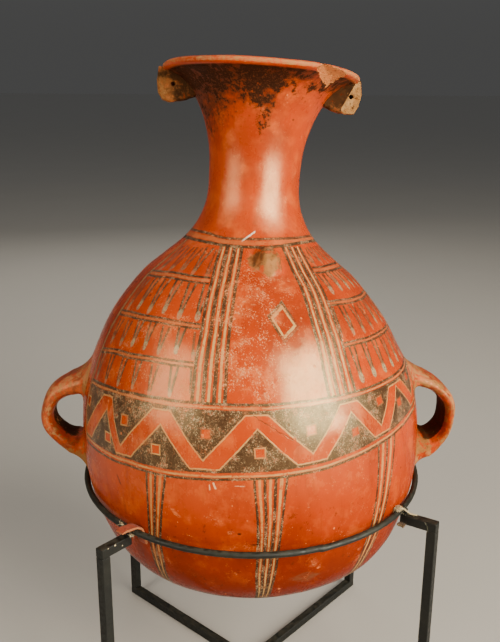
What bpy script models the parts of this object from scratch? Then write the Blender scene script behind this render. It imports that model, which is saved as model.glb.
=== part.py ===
"""Aryballos: a pointed-base jar with a flared neck, held upright in a four-legged iron ring stand.

Metres, +Z up. The origin is on the floor, under the point where the stand's base bars cross.
The jar is modelled upright about its own axis, then leaned as one piece, because its axis is not straight.
"""

import math

import bmesh
import bpy
from mathutils import Matrix, Vector

# ---------------------------------------------------------------- driving dimensions

GAP = 0.0003                    # clearance between pieces that touch

# stand
BAR = 0.010                     # side of the square bar
BAR_BEVEL = 0.0006
LEG_RADIUS = 0.2192             # leg centre line to the origin
LEG_AZIMUTHS = {"front_left": 229.4, "front_right": 328.2, "back_right": 49.4, "back_left": 137.8}
ARM_TOP = 0.2723
ARM_PAST_RING = 0.0024          # how far each arm reaches in past the ring's centre line
RING_SIDE = 0.1860              # the ring is a little wider front to back than across
RING_FRONT = 0.1912
RING_ROD = 0.0029
RING_HEIGHT = 0.2805
RING_SEGMENTS = 64
RING_SIDES = 8
STUB_SIZE = 0.006

# jar, heights above its own tip
TIP_HEIGHT = 0.1142
JAR_SEGMENTS = 44
BODY_WALL = 0.0078
NECK_WALL = 0.0070
NECK_WALL_HEIGHTS = (0.40, 0.46)    # the wall thins from one to the other between these
BASE_FLOOR = 0.012              # clay above the tip
CAVITY_TOP = 0.5935
CAVITY_NARROWEST = 0.008
LIP_INNER = 0.0940
LIP_EASE = 0.0010               # the mouth's cutter stands this far clear of the lip's crest
MOUTH_RISE = 0.012              # and flares this far above it

# outer profile: (height, radius) where the curve bends, tip first
OUTER_PROFILE = (
    (0.000, 0.0000), (0.003, 0.0120), (0.040, 0.0690), (0.078, 0.1310), (0.092, 0.1500),
    (0.110, 0.1635), (0.140, 0.1755), (0.168, 0.1823), (0.205, 0.1852), (0.240, 0.1845),
    (0.275, 0.1795), (0.310, 0.1659), (0.348, 0.1462), (0.386, 0.1162), (0.405, 0.0935),
    (0.424, 0.0715), (0.442, 0.0580), (0.466, 0.0493), (0.494, 0.0480), (0.522, 0.0502),
    (0.550, 0.0580), (0.572, 0.0700), (0.584, 0.0825), (0.590, 0.0945),
)
LIP_PROFILE = ((0.5910, 0.0990), (0.5930, 0.1020), (0.5955, 0.1027), (0.5975, 0.1010), (0.5985, 0.0975))
OUTER_STEPS = 38
INNER_STEPS = 18
INNER_CROWDING = 0.9            # under 1 puts the cavity's steps closer together near the base
CAVITY_DIMPLE = 0.002           # depth of the small cone that closes the cavity

# lean of the jar's axis: (height, sideways) and (height, backwards)
LEAN_X = ((0.0, 0.0040), (0.17, 0.0010), (0.31, -0.0053), (0.47, 0.0002), (0.60, 0.0082))
LEAN_Y = ((0.0, 0.0000), (0.22, 0.0000), (0.32, 0.0040), (0.42, 0.0128), (0.52, 0.0230), (0.60, 0.0335))

# strap handles
HANDLE_AZIMUTH = 3.5            # of the right one; the left one is opposite
HANDLE_SIDES = 12
HANDLE_STEPS = 18
# (radius, height, half thickness, half width) along each strap, upper end first
HANDLE_RIGHT = (
    (0.1640, 0.2608, 0.0185, 0.0400), (0.1819, 0.2638, 0.0140, 0.0335), (0.1963, 0.2593, 0.0085, 0.0275),
    (0.2121, 0.2483, 0.0068, 0.0255), (0.2245, 0.2297, 0.0066, 0.0250), (0.2246, 0.2098, 0.0060, 0.0250),
    (0.2190, 0.1942, 0.0062, 0.0250), (0.2050, 0.1821, 0.0088, 0.0275), (0.1894, 0.1803, 0.0150, 0.0350),
    (0.1694, 0.1816, 0.0172, 0.0400),
)
HANDLE_LEFT = (
    (0.1554, 0.2811, 0.0160, 0.0400), (0.1755, 0.2795, 0.0140, 0.0325), (0.1970, 0.2755, 0.0086, 0.0260),
    (0.2145, 0.2671, 0.0076, 0.0240), (0.2242, 0.2500, 0.0064, 0.0235), (0.2231, 0.2345, 0.0066, 0.0235),
    (0.2125, 0.2195, 0.0070, 0.0235), (0.2001, 0.2100, 0.0100, 0.0270), (0.1863, 0.2060, 0.0175, 0.0345),
    (0.1674, 0.2045, 0.0195, 0.0400),
)

# lugs under the rim
LUG_AZIMUTHS = {"left": 184.0, "right": 357.0}
LUG_REACH = {"left": 0.0, "right": -0.0020}    # added to the outline's radii
LUG_THICKNESS = 0.0150
LUG_ROUND = 0.0035
LUG_HOLE_RADIUS = 0.0024
LUG_HOLE = (0.0925, 0.5775)     # radius, height
LUG_HOLE_SIDES = 10
# (radius, height) round each lug's outline
LUG_OUTLINE = (
    (0.0620, 0.5690), (0.0760, 0.5630), (0.0920, 0.5590), (0.1010, 0.5610), (0.1055, 0.5680),
    (0.1075, 0.5800), (0.1062, 0.5950), (0.0840, 0.5960), (0.0620, 0.5860),
)
# the broken corner of the right lug: a point on its face, the way the face looks, and the cutter's side
FRACTURE_POINT = (0.0835, 0.0075, 0.5760)      # radius, forward, height
FRACTURE_AZIMUTH = 296.0
FRACTURE_BOX = 0.050
# the chip in the rim: where it is centred and its half sizes (out, across, up)
RIM_CHIP_AZIMUTH = 313.0
RIM_CHIP_PLACE = (0.1075, 0.5895)
RIM_CHIP_SIZE = (0.0085, 0.0100, 0.0110)

# nubbin at the foot of the neck
NUBBIN_AZIMUTH = 282.5
NUBBIN_HEIGHT = 0.4095
NUBBIN_RADIUS = 0.0860
NUBBIN_SIZE = (0.0135, 0.0180, 0.0220)    # out, across, along the slope
NUBBIN_LEAN = 44.0

# pads
PAD_THICK = 0.0032
PAD_STEPS = 12
PAD_CLEAR = 0.0008              # between a pad and the ring, which curves away under its flat faces
PAD_JAR_CLEAR = 0.0006
PAD_FLAP_DROP = 0.0045          # how far the flap's end hangs below the top of the fold
# the fold's centre line: (out, down) from its top, then (in, down) from the ring's inside
PAD_SHOULDERS = ((0.006, 0.0008), (0.0, 0.0), (-0.0042, 0.0022))
PAD_INSIDE = ((0.0, 0.0), (0.0008, 0.0065), (0.0030, 0.0140))
PADS = {                        # azimuth, width, how far the top flap reaches beyond the ring
    "front_left": (232.0, 0.014, 0.0190),
    "front_right": (324.5, 0.008, 0.0060),
    "back_right": (49.4, 0.013, 0.0150),
    "back_left": (137.8, 0.013, 0.0150),
}

# mesh clean-up
WELD_DISTANCE = 0.00002
MERGE_DISTANCE = 0.00005
SHARP_ANGLE = 40.0

# materials: colour, roughness, metallic
IRON = ((0.030, 0.032, 0.028), 0.55, 0.3)
SLIP = ((0.480, 0.085, 0.022), 0.38, 0.0)
PAD_RED = ((0.450, 0.140, 0.070), 0.80, 0.0)
PAD_CREAM = ((0.620, 0.500, 0.330), 0.95, 0.0)

for old in list(bpy.data.objects):
    bpy.data.objects.remove(old, do_unlink=True)


# ---------------------------------------------------------------- helpers

def collection(name):
    made = bpy.data.collections.new(name)
    bpy.context.scene.collection.children.link(made)
    return made


PARTS = collection("aryballos")
CUTTERS = collection("cutters")


def material(name, look):
    colour, roughness, metallic = look
    made = bpy.data.materials.new(name)
    made.use_nodes = True
    shader = made.node_tree.nodes["Principled BSDF"]
    shader.inputs["Base Color"].default_value = (*colour, 1.0)
    shader.inputs["Roughness"].default_value = roughness
    shader.inputs["Metallic"].default_value = metallic
    return made


def place(name, data, into=PARTS, look=None):
    """Put data in the scene as an object called name."""
    made = bpy.data.objects.new(name, data)
    into.objects.link(made)
    if into is CUTTERS:
        made.hide_render = True
        made.display_type = "WIRE"
    if look is not None:
        made.data.materials.append(material(name + "_finish", look))
    return made


def mesh_from(bm, name):
    mesh = bpy.data.meshes.new(name)
    bm.to_mesh(mesh)
    bm.free()
    return mesh


def baked(source, name, into):
    """The evaluated mesh of source as a new plain object, with loose caps welded. source is removed."""
    bpy.context.view_layer.update()
    graph = bpy.context.evaluated_depsgraph_get()
    mesh = bpy.data.meshes.new_from_object(source.evaluated_get(graph))
    matrix = source.matrix_world.copy()
    bm = bmesh.new()
    bm.from_mesh(mesh)
    bmesh.ops.remove_doubles(bm, verts=bm.verts, dist=WELD_DISTANCE)
    bmesh.ops.recalc_face_normals(bm, faces=bm.faces)
    bm.to_mesh(mesh)
    bm.free()
    bpy.data.objects.remove(source, do_unlink=True)
    made = place(name, mesh, into)
    made.matrix_world = matrix
    return made


def smooth_value(points, at):
    """Value at `at` on a smooth curve through (position, value) points, and its slope."""
    last = len(points) - 1
    index = 0
    while index < last - 1 and at > points[index + 1][0]:
        index += 1

    def slope(i):
        before = points[max(i - 1, 0)]
        after = points[min(i + 1, last)]
        return (after[1] - before[1]) / (after[0] - before[0])

    (x0, y0), (x1, y1) = points[index], points[index + 1]
    step = x1 - x0
    t = (at - x0) / step
    m0, m1 = slope(index) * step, slope(index + 1) * step
    value = (2 * t**3 - 3 * t**2 + 1) * y0 + (t**3 - 2 * t**2 + t) * m0
    value += (3 * t**2 - 2 * t**3) * y1 + (t**3 - t**2) * m1
    rate = (6 * t**2 - 6 * t) * (y0 - y1) + (3 * t**2 - 4 * t + 1) * m0 + (3 * t**2 - 2 * t) * m1
    return value, rate / step


def smooth_path(points, steps):
    """Evenly spaced points on a smooth curve through points of any number of dimensions."""
    at = [0.0]
    for a, b in zip(points, points[1:]):
        at.append(at[-1] + math.dist(a[:2], b[:2]))
    path = []
    for i in range(steps + 1):
        where = at[-1] * i / steps
        path.append([smooth_value(list(zip(at, values)), where)[0] for values in zip(*points)])
    return path


def radial(azimuth, radius, height=0.0):
    angle = math.radians(azimuth)
    return Vector((radius * math.cos(angle), radius * math.sin(angle), height))


def upright(azimuth):
    """Stands a (radius, height) drawing on the XY plane up in the plane through the axis at azimuth."""
    return Matrix.Rotation(math.radians(azimuth), 4, "Z") @ Matrix.Rotation(math.radians(90.0), 4, "X")


def turned(name, profile, segments):
    """A solid of revolution; profile is (radius, height), top to bottom, both ends on the axis."""
    bm = bmesh.new()
    verts = [bm.verts.new((radius, 0.0, height)) for radius, height in profile]
    for a, b in zip(verts, verts[1:]):
        bm.edges.new((a, b))
    made = place(name, mesh_from(bm, name), CUTTERS)
    screw = made.modifiers.new("turn", "SCREW")
    screw.axis = "Z"
    screw.steps = segments
    screw.render_steps = segments
    screw.use_merge_vertices = True
    screw.merge_threshold = MERGE_DISTANCE
    return baked(made, name, CUTTERS)


def boolean(target, tool, operation):
    step = target.modifiers.new(operation.lower() + "_" + tool.name, "BOOLEAN")
    step.operation = operation
    step.solver = "EXACT"
    step.object = tool


def box(name, size, centre, azimuth, into=PARTS, look=None, bevel=0.0):
    bm = bmesh.new()
    bmesh.ops.create_cube(bm, size=1.0, matrix=Matrix.Diagonal((*size, 1.0)))
    made = place(name, mesh_from(bm, name), into, look)
    made.location = centre
    made.rotation_euler = (0.0, 0.0, math.radians(azimuth))
    if bevel:
        edge = made.modifiers.new("edges", "BEVEL")
        edge.width = bevel
        edge.segments = 1
    return made


def strap(name, path, outline, azimuth, into=CUTTERS):
    """A strip along path, (radius, height, half thickness, half width), in the upright plane at azimuth."""
    bm = bmesh.new()
    rings = []
    for i, (radius, height, thick, width) in enumerate(path):
        after = path[min(i + 1, len(path) - 1)]
        before = path[max(i - 1, 0)]
        along = Vector((after[0] - before[0], after[1] - before[1], 0.0)).normalized()
        across = Vector((-along.y, along.x, 0.0))
        centre = Vector((radius, height, 0.0))
        ring = [bm.verts.new(centre + across * thick * u + Vector((0.0, 0.0, width * v))) for u, v in outline]
        rings.append([bm.edges.new((a, b)) for a, b in zip(ring, ring[1:] + ring[:1])])
    for a, b in zip(rings, rings[1:]):
        bmesh.ops.bridge_loops(bm, edges=a + b)
    bmesh.ops.holes_fill(bm, edges=rings[0] + rings[-1], sides=0)
    bmesh.ops.recalc_face_normals(bm, faces=bm.faces)
    made = place(name, mesh_from(bm, name), into)
    made.matrix_world = upright(azimuth)
    return made


def oval(sides, power=2.4):
    """A closed outline inside the unit square, between a circle and the square."""
    points = []
    for i in range(sides):
        angle = math.tau * (i + 0.5) / sides
        x, y = math.cos(angle), math.sin(angle)
        points.append((math.copysign(abs(x) ** (2 / power), x), math.copysign(abs(y) ** (2 / power), y)))
    return points


def ring_radius(azimuth):
    """The ring's centre line at azimuth."""
    angle = math.radians(azimuth)
    return 1.0 / math.hypot(math.cos(angle) / RING_SIDE, math.sin(angle) / RING_FRONT)


# ---------------------------------------------------------------- jar

def outer_line(grow=0.0):
    """Outer profile from the lip's crest down to the tip, as (radius, height), grown by grow."""
    line = [(r + grow, h + grow) for h, r in reversed(LIP_PROFILE)]
    side = smooth_path(OUTER_PROFILE, OUTER_STEPS)
    line += [(r + grow, h - grow) for h, r in reversed(side[1:])]
    top = line[0][1] + LIP_EASE
    bottom = side[0][0] - grow
    return [(0.0, top)] + line + [(0.0, bottom)]


def inner_line():
    """The cavity's profile: out of the mouth above, then down the inside of neck and body."""
    crest = LIP_PROFILE[-1][0]
    line = [(LIP_INNER + MOUTH_RISE, crest + MOUTH_RISE), (LIP_INNER + LIP_EASE, crest + LIP_EASE)]
    low, high = NECK_WALL_HEIGHTS
    for i in range(INNER_STEPS):
        share = (i / (INNER_STEPS - 1)) ** INNER_CROWDING
        height = CAVITY_TOP + (BASE_FLOOR - CAVITY_TOP) * share
        radius, slope = smooth_value(OUTER_PROFILE, min(height, OUTER_PROFILE[-1][0]))
        blend = min(max((height - low) / (high - low), 0.0), 1.0)
        wall = BODY_WALL + (NECK_WALL - BODY_WALL) * blend
        line.append((radius - wall * math.hypot(1.0, slope), height))
    line = [point for point in line if point[0] > CAVITY_NARROWEST]
    return [(0.0, line[0][1])] + line + [(0.0, line[-1][1] - CAVITY_DIMPLE)]


def lug(name, azimuth, reach):
    """An ear-shaped plate in the upright plane through the axis, with soft edges."""
    curve = bpy.data.curves.new(name, "CURVE")
    curve.dimensions = "2D"
    curve.fill_mode = "BOTH"
    curve.extrude = LUG_THICKNESS / 2 - LUG_ROUND
    curve.bevel_depth = LUG_ROUND
    curve.bevel_resolution = 1
    curve.offset = -LUG_ROUND
    line = curve.splines.new("POLY")
    line.points.add(len(LUG_OUTLINE) - 1)
    for point, (radius, height) in zip(line.points, LUG_OUTLINE):
        point.co = (radius + reach, height, 0.0, 1.0)
    line.use_cyclic_u = True
    made = place(name, curve, CUTTERS)
    made.matrix_world = upright(azimuth)
    return baked(made, name, CUTTERS)


def lug_hole(name, azimuth):
    bm = bmesh.new()
    bmesh.ops.create_cone(bm, cap_ends=True, segments=LUG_HOLE_SIDES, radius1=LUG_HOLE_RADIUS,
                          radius2=LUG_HOLE_RADIUS, depth=LUG_THICKNESS * 2)
    made = place(name, mesh_from(bm, name), CUTTERS)
    lying = Matrix.Rotation(math.radians(90.0), 4, "X")
    made.matrix_world = (Matrix.Rotation(math.radians(azimuth), 4, "Z")
                         @ Matrix.Translation((LUG_HOLE[0], 0.0, LUG_HOLE[1])) @ lying)
    return made


def fracture(name):
    """The cutter that leaves the right lug's broken corner."""
    azimuth = LUG_AZIMUTHS["right"]
    radius, forward, height = FRACTURE_POINT
    corner = radial(azimuth, radius, height) + radial(azimuth - 90.0, forward)
    centre = corner + radial(FRACTURE_AZIMUTH, FRACTURE_BOX / 2)
    return box(name, (FRACTURE_BOX, FRACTURE_BOX, FRACTURE_BOX), centre, FRACTURE_AZIMUTH, CUTTERS)


def blob(name, size, matrix):
    """An ellipsoid."""
    bm = bmesh.new()
    bmesh.ops.create_icosphere(bm, subdivisions=2, radius=1.0, matrix=matrix @ Matrix.Diagonal((*size, 1.0)))
    return place(name, mesh_from(bm, name), CUTTERS)


def lean(point):
    """Where a point of the straight jar goes: sections slide and stay square to the leaning axis."""
    side, side_rate = smooth_value(LEAN_X, point.z)
    back, back_rate = smooth_value(LEAN_Y, point.z)
    rise = -side_rate * point.x - back_rate * point.y
    return Vector((point.x + side, point.y + back, point.z + rise + TIP_HEIGHT))


def leaned(source, name, into, look=None):
    """The finished mesh of source, triangulated and leaned."""
    made = baked(source, name, into)
    bm = bmesh.new()
    bm.from_mesh(made.data)
    bmesh.ops.triangulate(bm, faces=bm.faces)
    for vert in bm.verts:
        vert.co = lean(vert.co)
    bm.to_mesh(made.data)
    bm.free()
    if look is not None:
        made.data.materials.clear()
        made.data.materials.append(material(name + "_finish", look))
    return made


def build_jar():
    jar = turned("jar_outer", outer_line(), JAR_SEGMENTS)
    section = oval(HANDLE_SIDES)
    added = [
        strap("handle_right", smooth_path(HANDLE_RIGHT, HANDLE_STEPS), section, HANDLE_AZIMUTH),
        strap("handle_left", smooth_path(HANDLE_LEFT, HANDLE_STEPS), section, HANDLE_AZIMUTH + 180.0),
    ]
    for side, azimuth in LUG_AZIMUTHS.items():
        added.append(lug("lug_" + side, azimuth, LUG_REACH[side]))
    broken = fracture("lug_fracture")
    boolean(added[-1], broken, "DIFFERENCE")
    added[-1] = baked(added[-1], "lug_right_broken", CUTTERS)
    bpy.data.objects.remove(broken, do_unlink=True)
    tilt = Matrix.Rotation(math.radians(-NUBBIN_LEAN), 4, "Y")
    spot = Matrix.Translation(radial(NUBBIN_AZIMUTH, NUBBIN_RADIUS, NUBBIN_HEIGHT))
    turn = Matrix.Rotation(math.radians(NUBBIN_AZIMUTH), 4, "Z")
    added.append(blob("nubbin", NUBBIN_SIZE, spot @ turn @ tilt))
    for piece in added:
        boolean(jar, piece, "UNION")
    removed = [turned("cavity", inner_line(), JAR_SEGMENTS)]
    for side, azimuth in LUG_AZIMUTHS.items():
        removed.append(lug_hole("hole_" + side, azimuth))
    chip = Matrix.Translation(radial(RIM_CHIP_AZIMUTH, *RIM_CHIP_PLACE))
    chip_turn = Matrix.Rotation(math.radians(RIM_CHIP_AZIMUTH), 4, "Z")
    removed.append(blob("rim_chip", RIM_CHIP_SIZE, chip @ chip_turn))
    for piece in removed:
        boolean(jar, piece, "DIFFERENCE")
    finished = leaned(jar, "jar", PARTS, SLIP)
    for piece in added + removed:
        bpy.data.objects.remove(piece, do_unlink=True)
    finished.data.shade_smooth()
    finished.data.set_sharp_from_angle(angle=math.radians(SHARP_ANGLE))
    return finished


# ---------------------------------------------------------------- stand

def build_ring():
    bm = bmesh.new()
    circle = bmesh.ops.create_circle(bm, segments=RING_SIDES, radius=RING_ROD)["verts"]
    seat = Matrix.Translation((RING_FRONT, 0.0, RING_HEIGHT)) @ Matrix.Rotation(math.radians(90.0), 4, "X")
    bmesh.ops.transform(bm, verts=circle, matrix=seat)
    ring = place("ring", mesh_from(bm, "ring"), PARTS, IRON)
    screw = ring.modifiers.new("bend", "SCREW")
    screw.steps = RING_SEGMENTS
    screw.render_steps = RING_SEGMENTS
    screw.use_merge_vertices = True
    screw.merge_threshold = MERGE_DISTANCE
    screw.use_normal_calculate = True
    ring.scale.x = RING_SIDE / RING_FRONT


def build_stand():
    build_ring()
    half = BAR / 2
    for corner, azimuth in LEG_AZIMUTHS.items():
        leg_bottom = BAR + GAP
        leg_top = ARM_TOP - BAR - GAP
        leg_size = (BAR, BAR, leg_top - leg_bottom)
        box("leg_" + corner, leg_size, radial(azimuth, LEG_RADIUS, (leg_top + leg_bottom) / 2), azimuth,
            look=IRON, bevel=BAR_BEVEL)
        arm_outer = LEG_RADIUS + half
        arm_inner = ring_radius(azimuth) - ARM_PAST_RING
        arm_size = (arm_outer - arm_inner, BAR, BAR)
        box("arm_" + corner, arm_size, radial(azimuth, (arm_outer + arm_inner) / 2, ARM_TOP - half), azimuth,
            look=IRON, bevel=BAR_BEVEL)
        stub_top = RING_HEIGHT - RING_ROD - GAP
        stub_bottom = ARM_TOP + GAP
        box("ring_stub_" + corner, (STUB_SIZE, STUB_SIZE, stub_top - stub_bottom),
            radial(azimuth, ring_radius(azimuth), (stub_top + stub_bottom) / 2), azimuth, look=IRON)
    foot_reach = LEG_RADIUS + half
    through = LEG_AZIMUTHS["front_left"]
    box("base_bar_long", (2 * foot_reach, BAR, BAR), (0.0, 0.0, half), through, look=IRON, bevel=BAR_BEVEL)
    for side, corner in (("right", "front_right"), ("left", "back_left")):
        azimuth = LEG_AZIMUTHS[corner]
        skew = math.radians(azimuth - through)
        inner = (half + GAP + half * abs(math.cos(skew))) / abs(math.sin(skew))
        centre = radial(azimuth, (foot_reach + inner) / 2, half)
        box("base_bar_" + side, (foot_reach - inner, BAR, BAR), centre, azimuth, look=IRON, bevel=BAR_BEVEL)


# ---------------------------------------------------------------- pads

def pad_path(azimuth, width, flap):
    """Centre line of a strip folded over the ring: top flap outwards, then down inside the ring."""
    lift = RING_ROD + PAD_CLEAR + PAD_THICK / 2
    over = RING_HEIGHT + lift
    rod = ring_radius(azimuth)
    inside = rod - lift
    line = [(rod + flap, over - PAD_FLAP_DROP)]
    line += [(rod + out, over - down) for out, down in PAD_SHOULDERS]
    line += [(inside - further, RING_HEIGHT - down) for further, down in PAD_INSIDE]
    return [(radius, height, PAD_THICK / 2, width / 2) for radius, height in line]


def build_pads():
    clear = turned("jar_clearance", outer_line(PAD_JAR_CLEAR), JAR_SEGMENTS)
    clear = leaned(clear, "jar_clearance", CUTTERS)
    square = ((-1.0, -1.0), (1.0, -1.0), (1.0, 1.0), (-1.0, 1.0))
    for corner, (azimuth, width, flap) in PADS.items():
        path = smooth_path(pad_path(azimuth, width, flap), PAD_STEPS)
        pad = strap("pad_" + corner, path, square, azimuth, PARTS)
        boolean(pad, clear, "DIFFERENCE")
        look = PAD_CREAM if corner == "front_right" else PAD_RED
        pad.data.materials.append(material(pad.name + "_finish", look))


build_jar()
build_stand()
build_pads()
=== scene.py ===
"""Aryballos in its iron ring stand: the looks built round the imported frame.

The jar is built straight about its own axis, where every point keeps its place for the painted design, and
is then leaned the way the fired piece leans. Metres, +Z up; u is degrees round the jar from its front, to the
right.
"""

import functools
import math
from types import SimpleNamespace

import bmesh
import bpy
import numpy as np
from mathutils import Matrix, Vector


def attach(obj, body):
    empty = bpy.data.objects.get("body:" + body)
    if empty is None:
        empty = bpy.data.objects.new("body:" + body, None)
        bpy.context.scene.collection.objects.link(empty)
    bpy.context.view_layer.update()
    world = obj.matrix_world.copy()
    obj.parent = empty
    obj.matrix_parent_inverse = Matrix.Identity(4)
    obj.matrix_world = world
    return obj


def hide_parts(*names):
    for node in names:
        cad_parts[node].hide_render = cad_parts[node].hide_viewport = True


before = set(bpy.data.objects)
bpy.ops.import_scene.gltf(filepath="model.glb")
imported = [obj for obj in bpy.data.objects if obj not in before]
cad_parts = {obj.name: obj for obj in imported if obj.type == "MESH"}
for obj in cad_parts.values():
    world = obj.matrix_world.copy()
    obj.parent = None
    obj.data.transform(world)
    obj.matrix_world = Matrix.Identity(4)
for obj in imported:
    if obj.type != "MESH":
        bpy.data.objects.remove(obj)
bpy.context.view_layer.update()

# ---------------------------------------------------------------- shape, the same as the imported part's

TIP_HEIGHT = 0.1142
BODY_WALL = 0.0078
NECK_WALL = 0.0070
BASE_FLOOR = 0.012

# (height above the jar's tip, radius)
OUTER_PROFILE = (
    (0.000, 0.0000), (0.003, 0.0120), (0.040, 0.0690), (0.078, 0.1310), (0.092, 0.1500),
    (0.110, 0.1635), (0.140, 0.1755), (0.168, 0.1823), (0.205, 0.1852), (0.240, 0.1845),
    (0.275, 0.1795), (0.310, 0.1659), (0.348, 0.1462), (0.386, 0.1162), (0.405, 0.0935),
    (0.424, 0.0715), (0.442, 0.0580), (0.466, 0.0493), (0.494, 0.0480), (0.522, 0.0502),
    (0.550, 0.0580), (0.572, 0.0700), (0.584, 0.0825), (0.590, 0.0945),
)
LIP_PROFILE = (
    (0.5908, 0.0985), (0.5920, 0.1010), (0.5938, 0.1023), (0.5957, 0.1024), (0.5972, 0.1009),
    (0.5980, 0.0988), (0.5981, 0.0965), (0.5974, 0.0943), (0.5955, 0.0915),
)
# (height, how far the axis has slid) to the right and to the back
LEAN_X = ((0.0, 0.0040), (0.17, 0.0010), (0.31, -0.0053), (0.47, 0.0002), (0.60, 0.0082))
LEAN_Y = ((0.0, 0.0), (0.22, 0.0), (0.32, 0.0040), (0.42, 0.0128), (0.52, 0.0230), (0.60, 0.0335))

HANDLE_AZIMUTH = 3.5
# (radius, height, half thickness, half width), upper end first
HANDLE_RIGHT = (
    (0.1640, 0.2608, 0.0185, 0.0400), (0.1819, 0.2638, 0.0140, 0.0335), (0.1963, 0.2593, 0.0085, 0.0275),
    (0.2121, 0.2483, 0.0068, 0.0255), (0.2245, 0.2297, 0.0066, 0.0250), (0.2246, 0.2098, 0.0060, 0.0250),
    (0.2190, 0.1942, 0.0062, 0.0250), (0.2050, 0.1821, 0.0088, 0.0275), (0.1894, 0.1803, 0.0150, 0.0350),
    (0.1694, 0.1816, 0.0172, 0.0400),
)
HANDLE_LEFT = (
    (0.1554, 0.2811, 0.0160, 0.0400), (0.1755, 0.2795, 0.0140, 0.0325), (0.1970, 0.2755, 0.0086, 0.0260),
    (0.2145, 0.2671, 0.0076, 0.0240), (0.2242, 0.2500, 0.0064, 0.0235), (0.2231, 0.2345, 0.0066, 0.0235),
    (0.2125, 0.2195, 0.0070, 0.0235), (0.2001, 0.2100, 0.0100, 0.0270), (0.1863, 0.2060, 0.0175, 0.0345),
    (0.1674, 0.2045, 0.0195, 0.0400),
)

LUG_AZIMUTHS = {"left": 184.0, "right": 357.0}
LUG_REACH = {"left": 0.0, "right": -0.0020}
LUG_THICKNESS = 0.0150
LUG_ROUND = 0.0040
LUG_HOLE_RADIUS = 0.0024
# (radius, height) of the hole, and of the outline
LUG_HOLE = (0.0925, 0.5775)
LUG_OUTLINE = (
    (0.0620, 0.5690), (0.0760, 0.5630), (0.0920, 0.5590), (0.1010, 0.5610), (0.1055, 0.5680),
    (0.1073, 0.5800), (0.1060, 0.5945), (0.0840, 0.5955), (0.0620, 0.5860),
)
# heights, and how near the axis the lugs may reach there without showing inside the mouth
LUG_INMOST = ((0.550, 0.572, 0.584, 0.590, 0.5930, 0.5960), (0.0555, 0.0672, 0.0793, 0.0905, 0.0965, 0.0985))
HOLE_SKEW = 20.0                # the holes were bored at a slant
BREAK_POINT = (0.0930, 0.5765)  # radius and height where the broken face meets the right lug's front face
BREAK_FACING = (0.30, -0.93, -0.17)
BREAK_BOX = 0.060

RING_SIDE = 0.1860              # the ring's half axes, to its rod's middle
RING_FRONT = 0.1912
RING_ROD = 0.0029
RING_HEIGHT = 0.2805


# ---------------------------------------------------------------- small maths

UP = np.array((0.0, 0.0, 1.0))


def unit(vectors):
    """Vectors, one to a row, at length 1."""
    return vectors / np.linalg.norm(vectors, axis=-1, keepdims=True)


def ease(value, low, high):
    t = np.clip((value - low) / (high - low), 0.0, 1.0)
    return t * t * (3 - 2 * t)


def bell(value, middle, wide):
    return np.exp(-(((value - middle) / wide) ** 2))


def smooth_value(points, at):
    """Values and slopes at `at` (an array) on a smooth curve through (position, value) points."""
    xs, ys = np.array(points, float).T
    before = np.concatenate(([0], np.arange(len(xs) - 1)))
    after = np.concatenate((np.arange(1, len(xs)), [len(xs) - 1]))
    rates = (ys[after] - ys[before]) / (xs[after] - xs[before])
    at = np.asarray(at, float)
    i = np.clip(np.searchsorted(xs, at) - 1, 0, len(xs) - 2)
    step = xs[i + 1] - xs[i]
    t = (at - xs[i]) / step
    m0, m1 = rates[i] * step, rates[i + 1] * step
    value = (2 * t**3 - 3 * t**2 + 1) * ys[i] + (t**3 - 2 * t**2 + t) * m0
    value += (3 * t**2 - 2 * t**3) * ys[i + 1] + (t**3 - t**2) * m1
    rate = (6 * t**2 - 6 * t) * (ys[i] - ys[i + 1]) + (3 * t**2 - 4 * t + 1) * m0 + (3 * t**2 - 2 * t) * m1
    return value, rate / step


def run_along(path):
    """How far along a path its points are, by their first two numbers."""
    return np.concatenate(([0.0], np.cumsum(np.hypot(*np.diff(path[:, :2], axis=0).T))))


def smooth_path(points, steps):
    """Evenly spaced points on a smooth curve through points, by run_along."""
    points = np.array(points, float)
    at = run_along(points)
    where = np.linspace(0.0, at[-1], steps + 1)
    return np.stack([smooth_value(list(zip(at, column)), where)[0] for column in points.T], axis=1)


def lumps(points, size, seed, terms=14):
    """Smooth random unevenness of about +-1, with features of about that size, for an (n, 3) array."""
    rng = np.random.default_rng(seed)
    directions = unit(rng.normal(size=(terms, 3)))
    rates = 2 * math.pi / size * rng.uniform(0.55, 1.6, terms)
    phases = rng.uniform(0, 2 * math.pi, terms)
    waves = np.sin(points @ (directions * rates[:, None]).T + phases)
    return waves.sum(axis=1) / math.sqrt(terms) * 0.9


def rough(points, size, seed, octaves=3):
    total = sum(lumps(points, size / 2**k, seed + k) / 1.8**k for k in range(octaves))
    return total / sum(1 / 1.8**k for k in range(octaves))


def lean(points):
    """Where points of the straight jar go: cross-sections slide and stay square to the leaning axis."""
    x, y, z = points.T
    side, side_rate = smooth_value(LEAN_X, z)
    back, back_rate = smooth_value(LEAN_Y, z)
    return np.stack([x + side, y + back, z - side_rate * x - back_rate * y + TIP_HEIGHT], axis=1)


def compass(azimuth):
    """Level unit vectors at an azimuth: out from the axis, and square to that, anticlockwise."""
    x, y = math.cos(math.radians(azimuth)), math.sin(math.radians(azimuth))
    return np.array((x, y, 0.0)), np.array((-y, x, 0.0))


def around(u, radius, height):
    """Points of the straight frame from degrees round the front, radius and height."""
    angle = np.radians(np.asarray(u, float))
    return np.stack(np.broadcast_arrays(radius * np.sin(angle), -radius * np.cos(angle), height), axis=-1)


SIDE_PATH = smooth_path(OUTER_PROFILE, 400)


def wall_radius(height):
    """Outer radius of the even jar at a height."""
    return np.interp(height, SIDE_PATH[:, 0], SIDE_PATH[:, 1])


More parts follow.
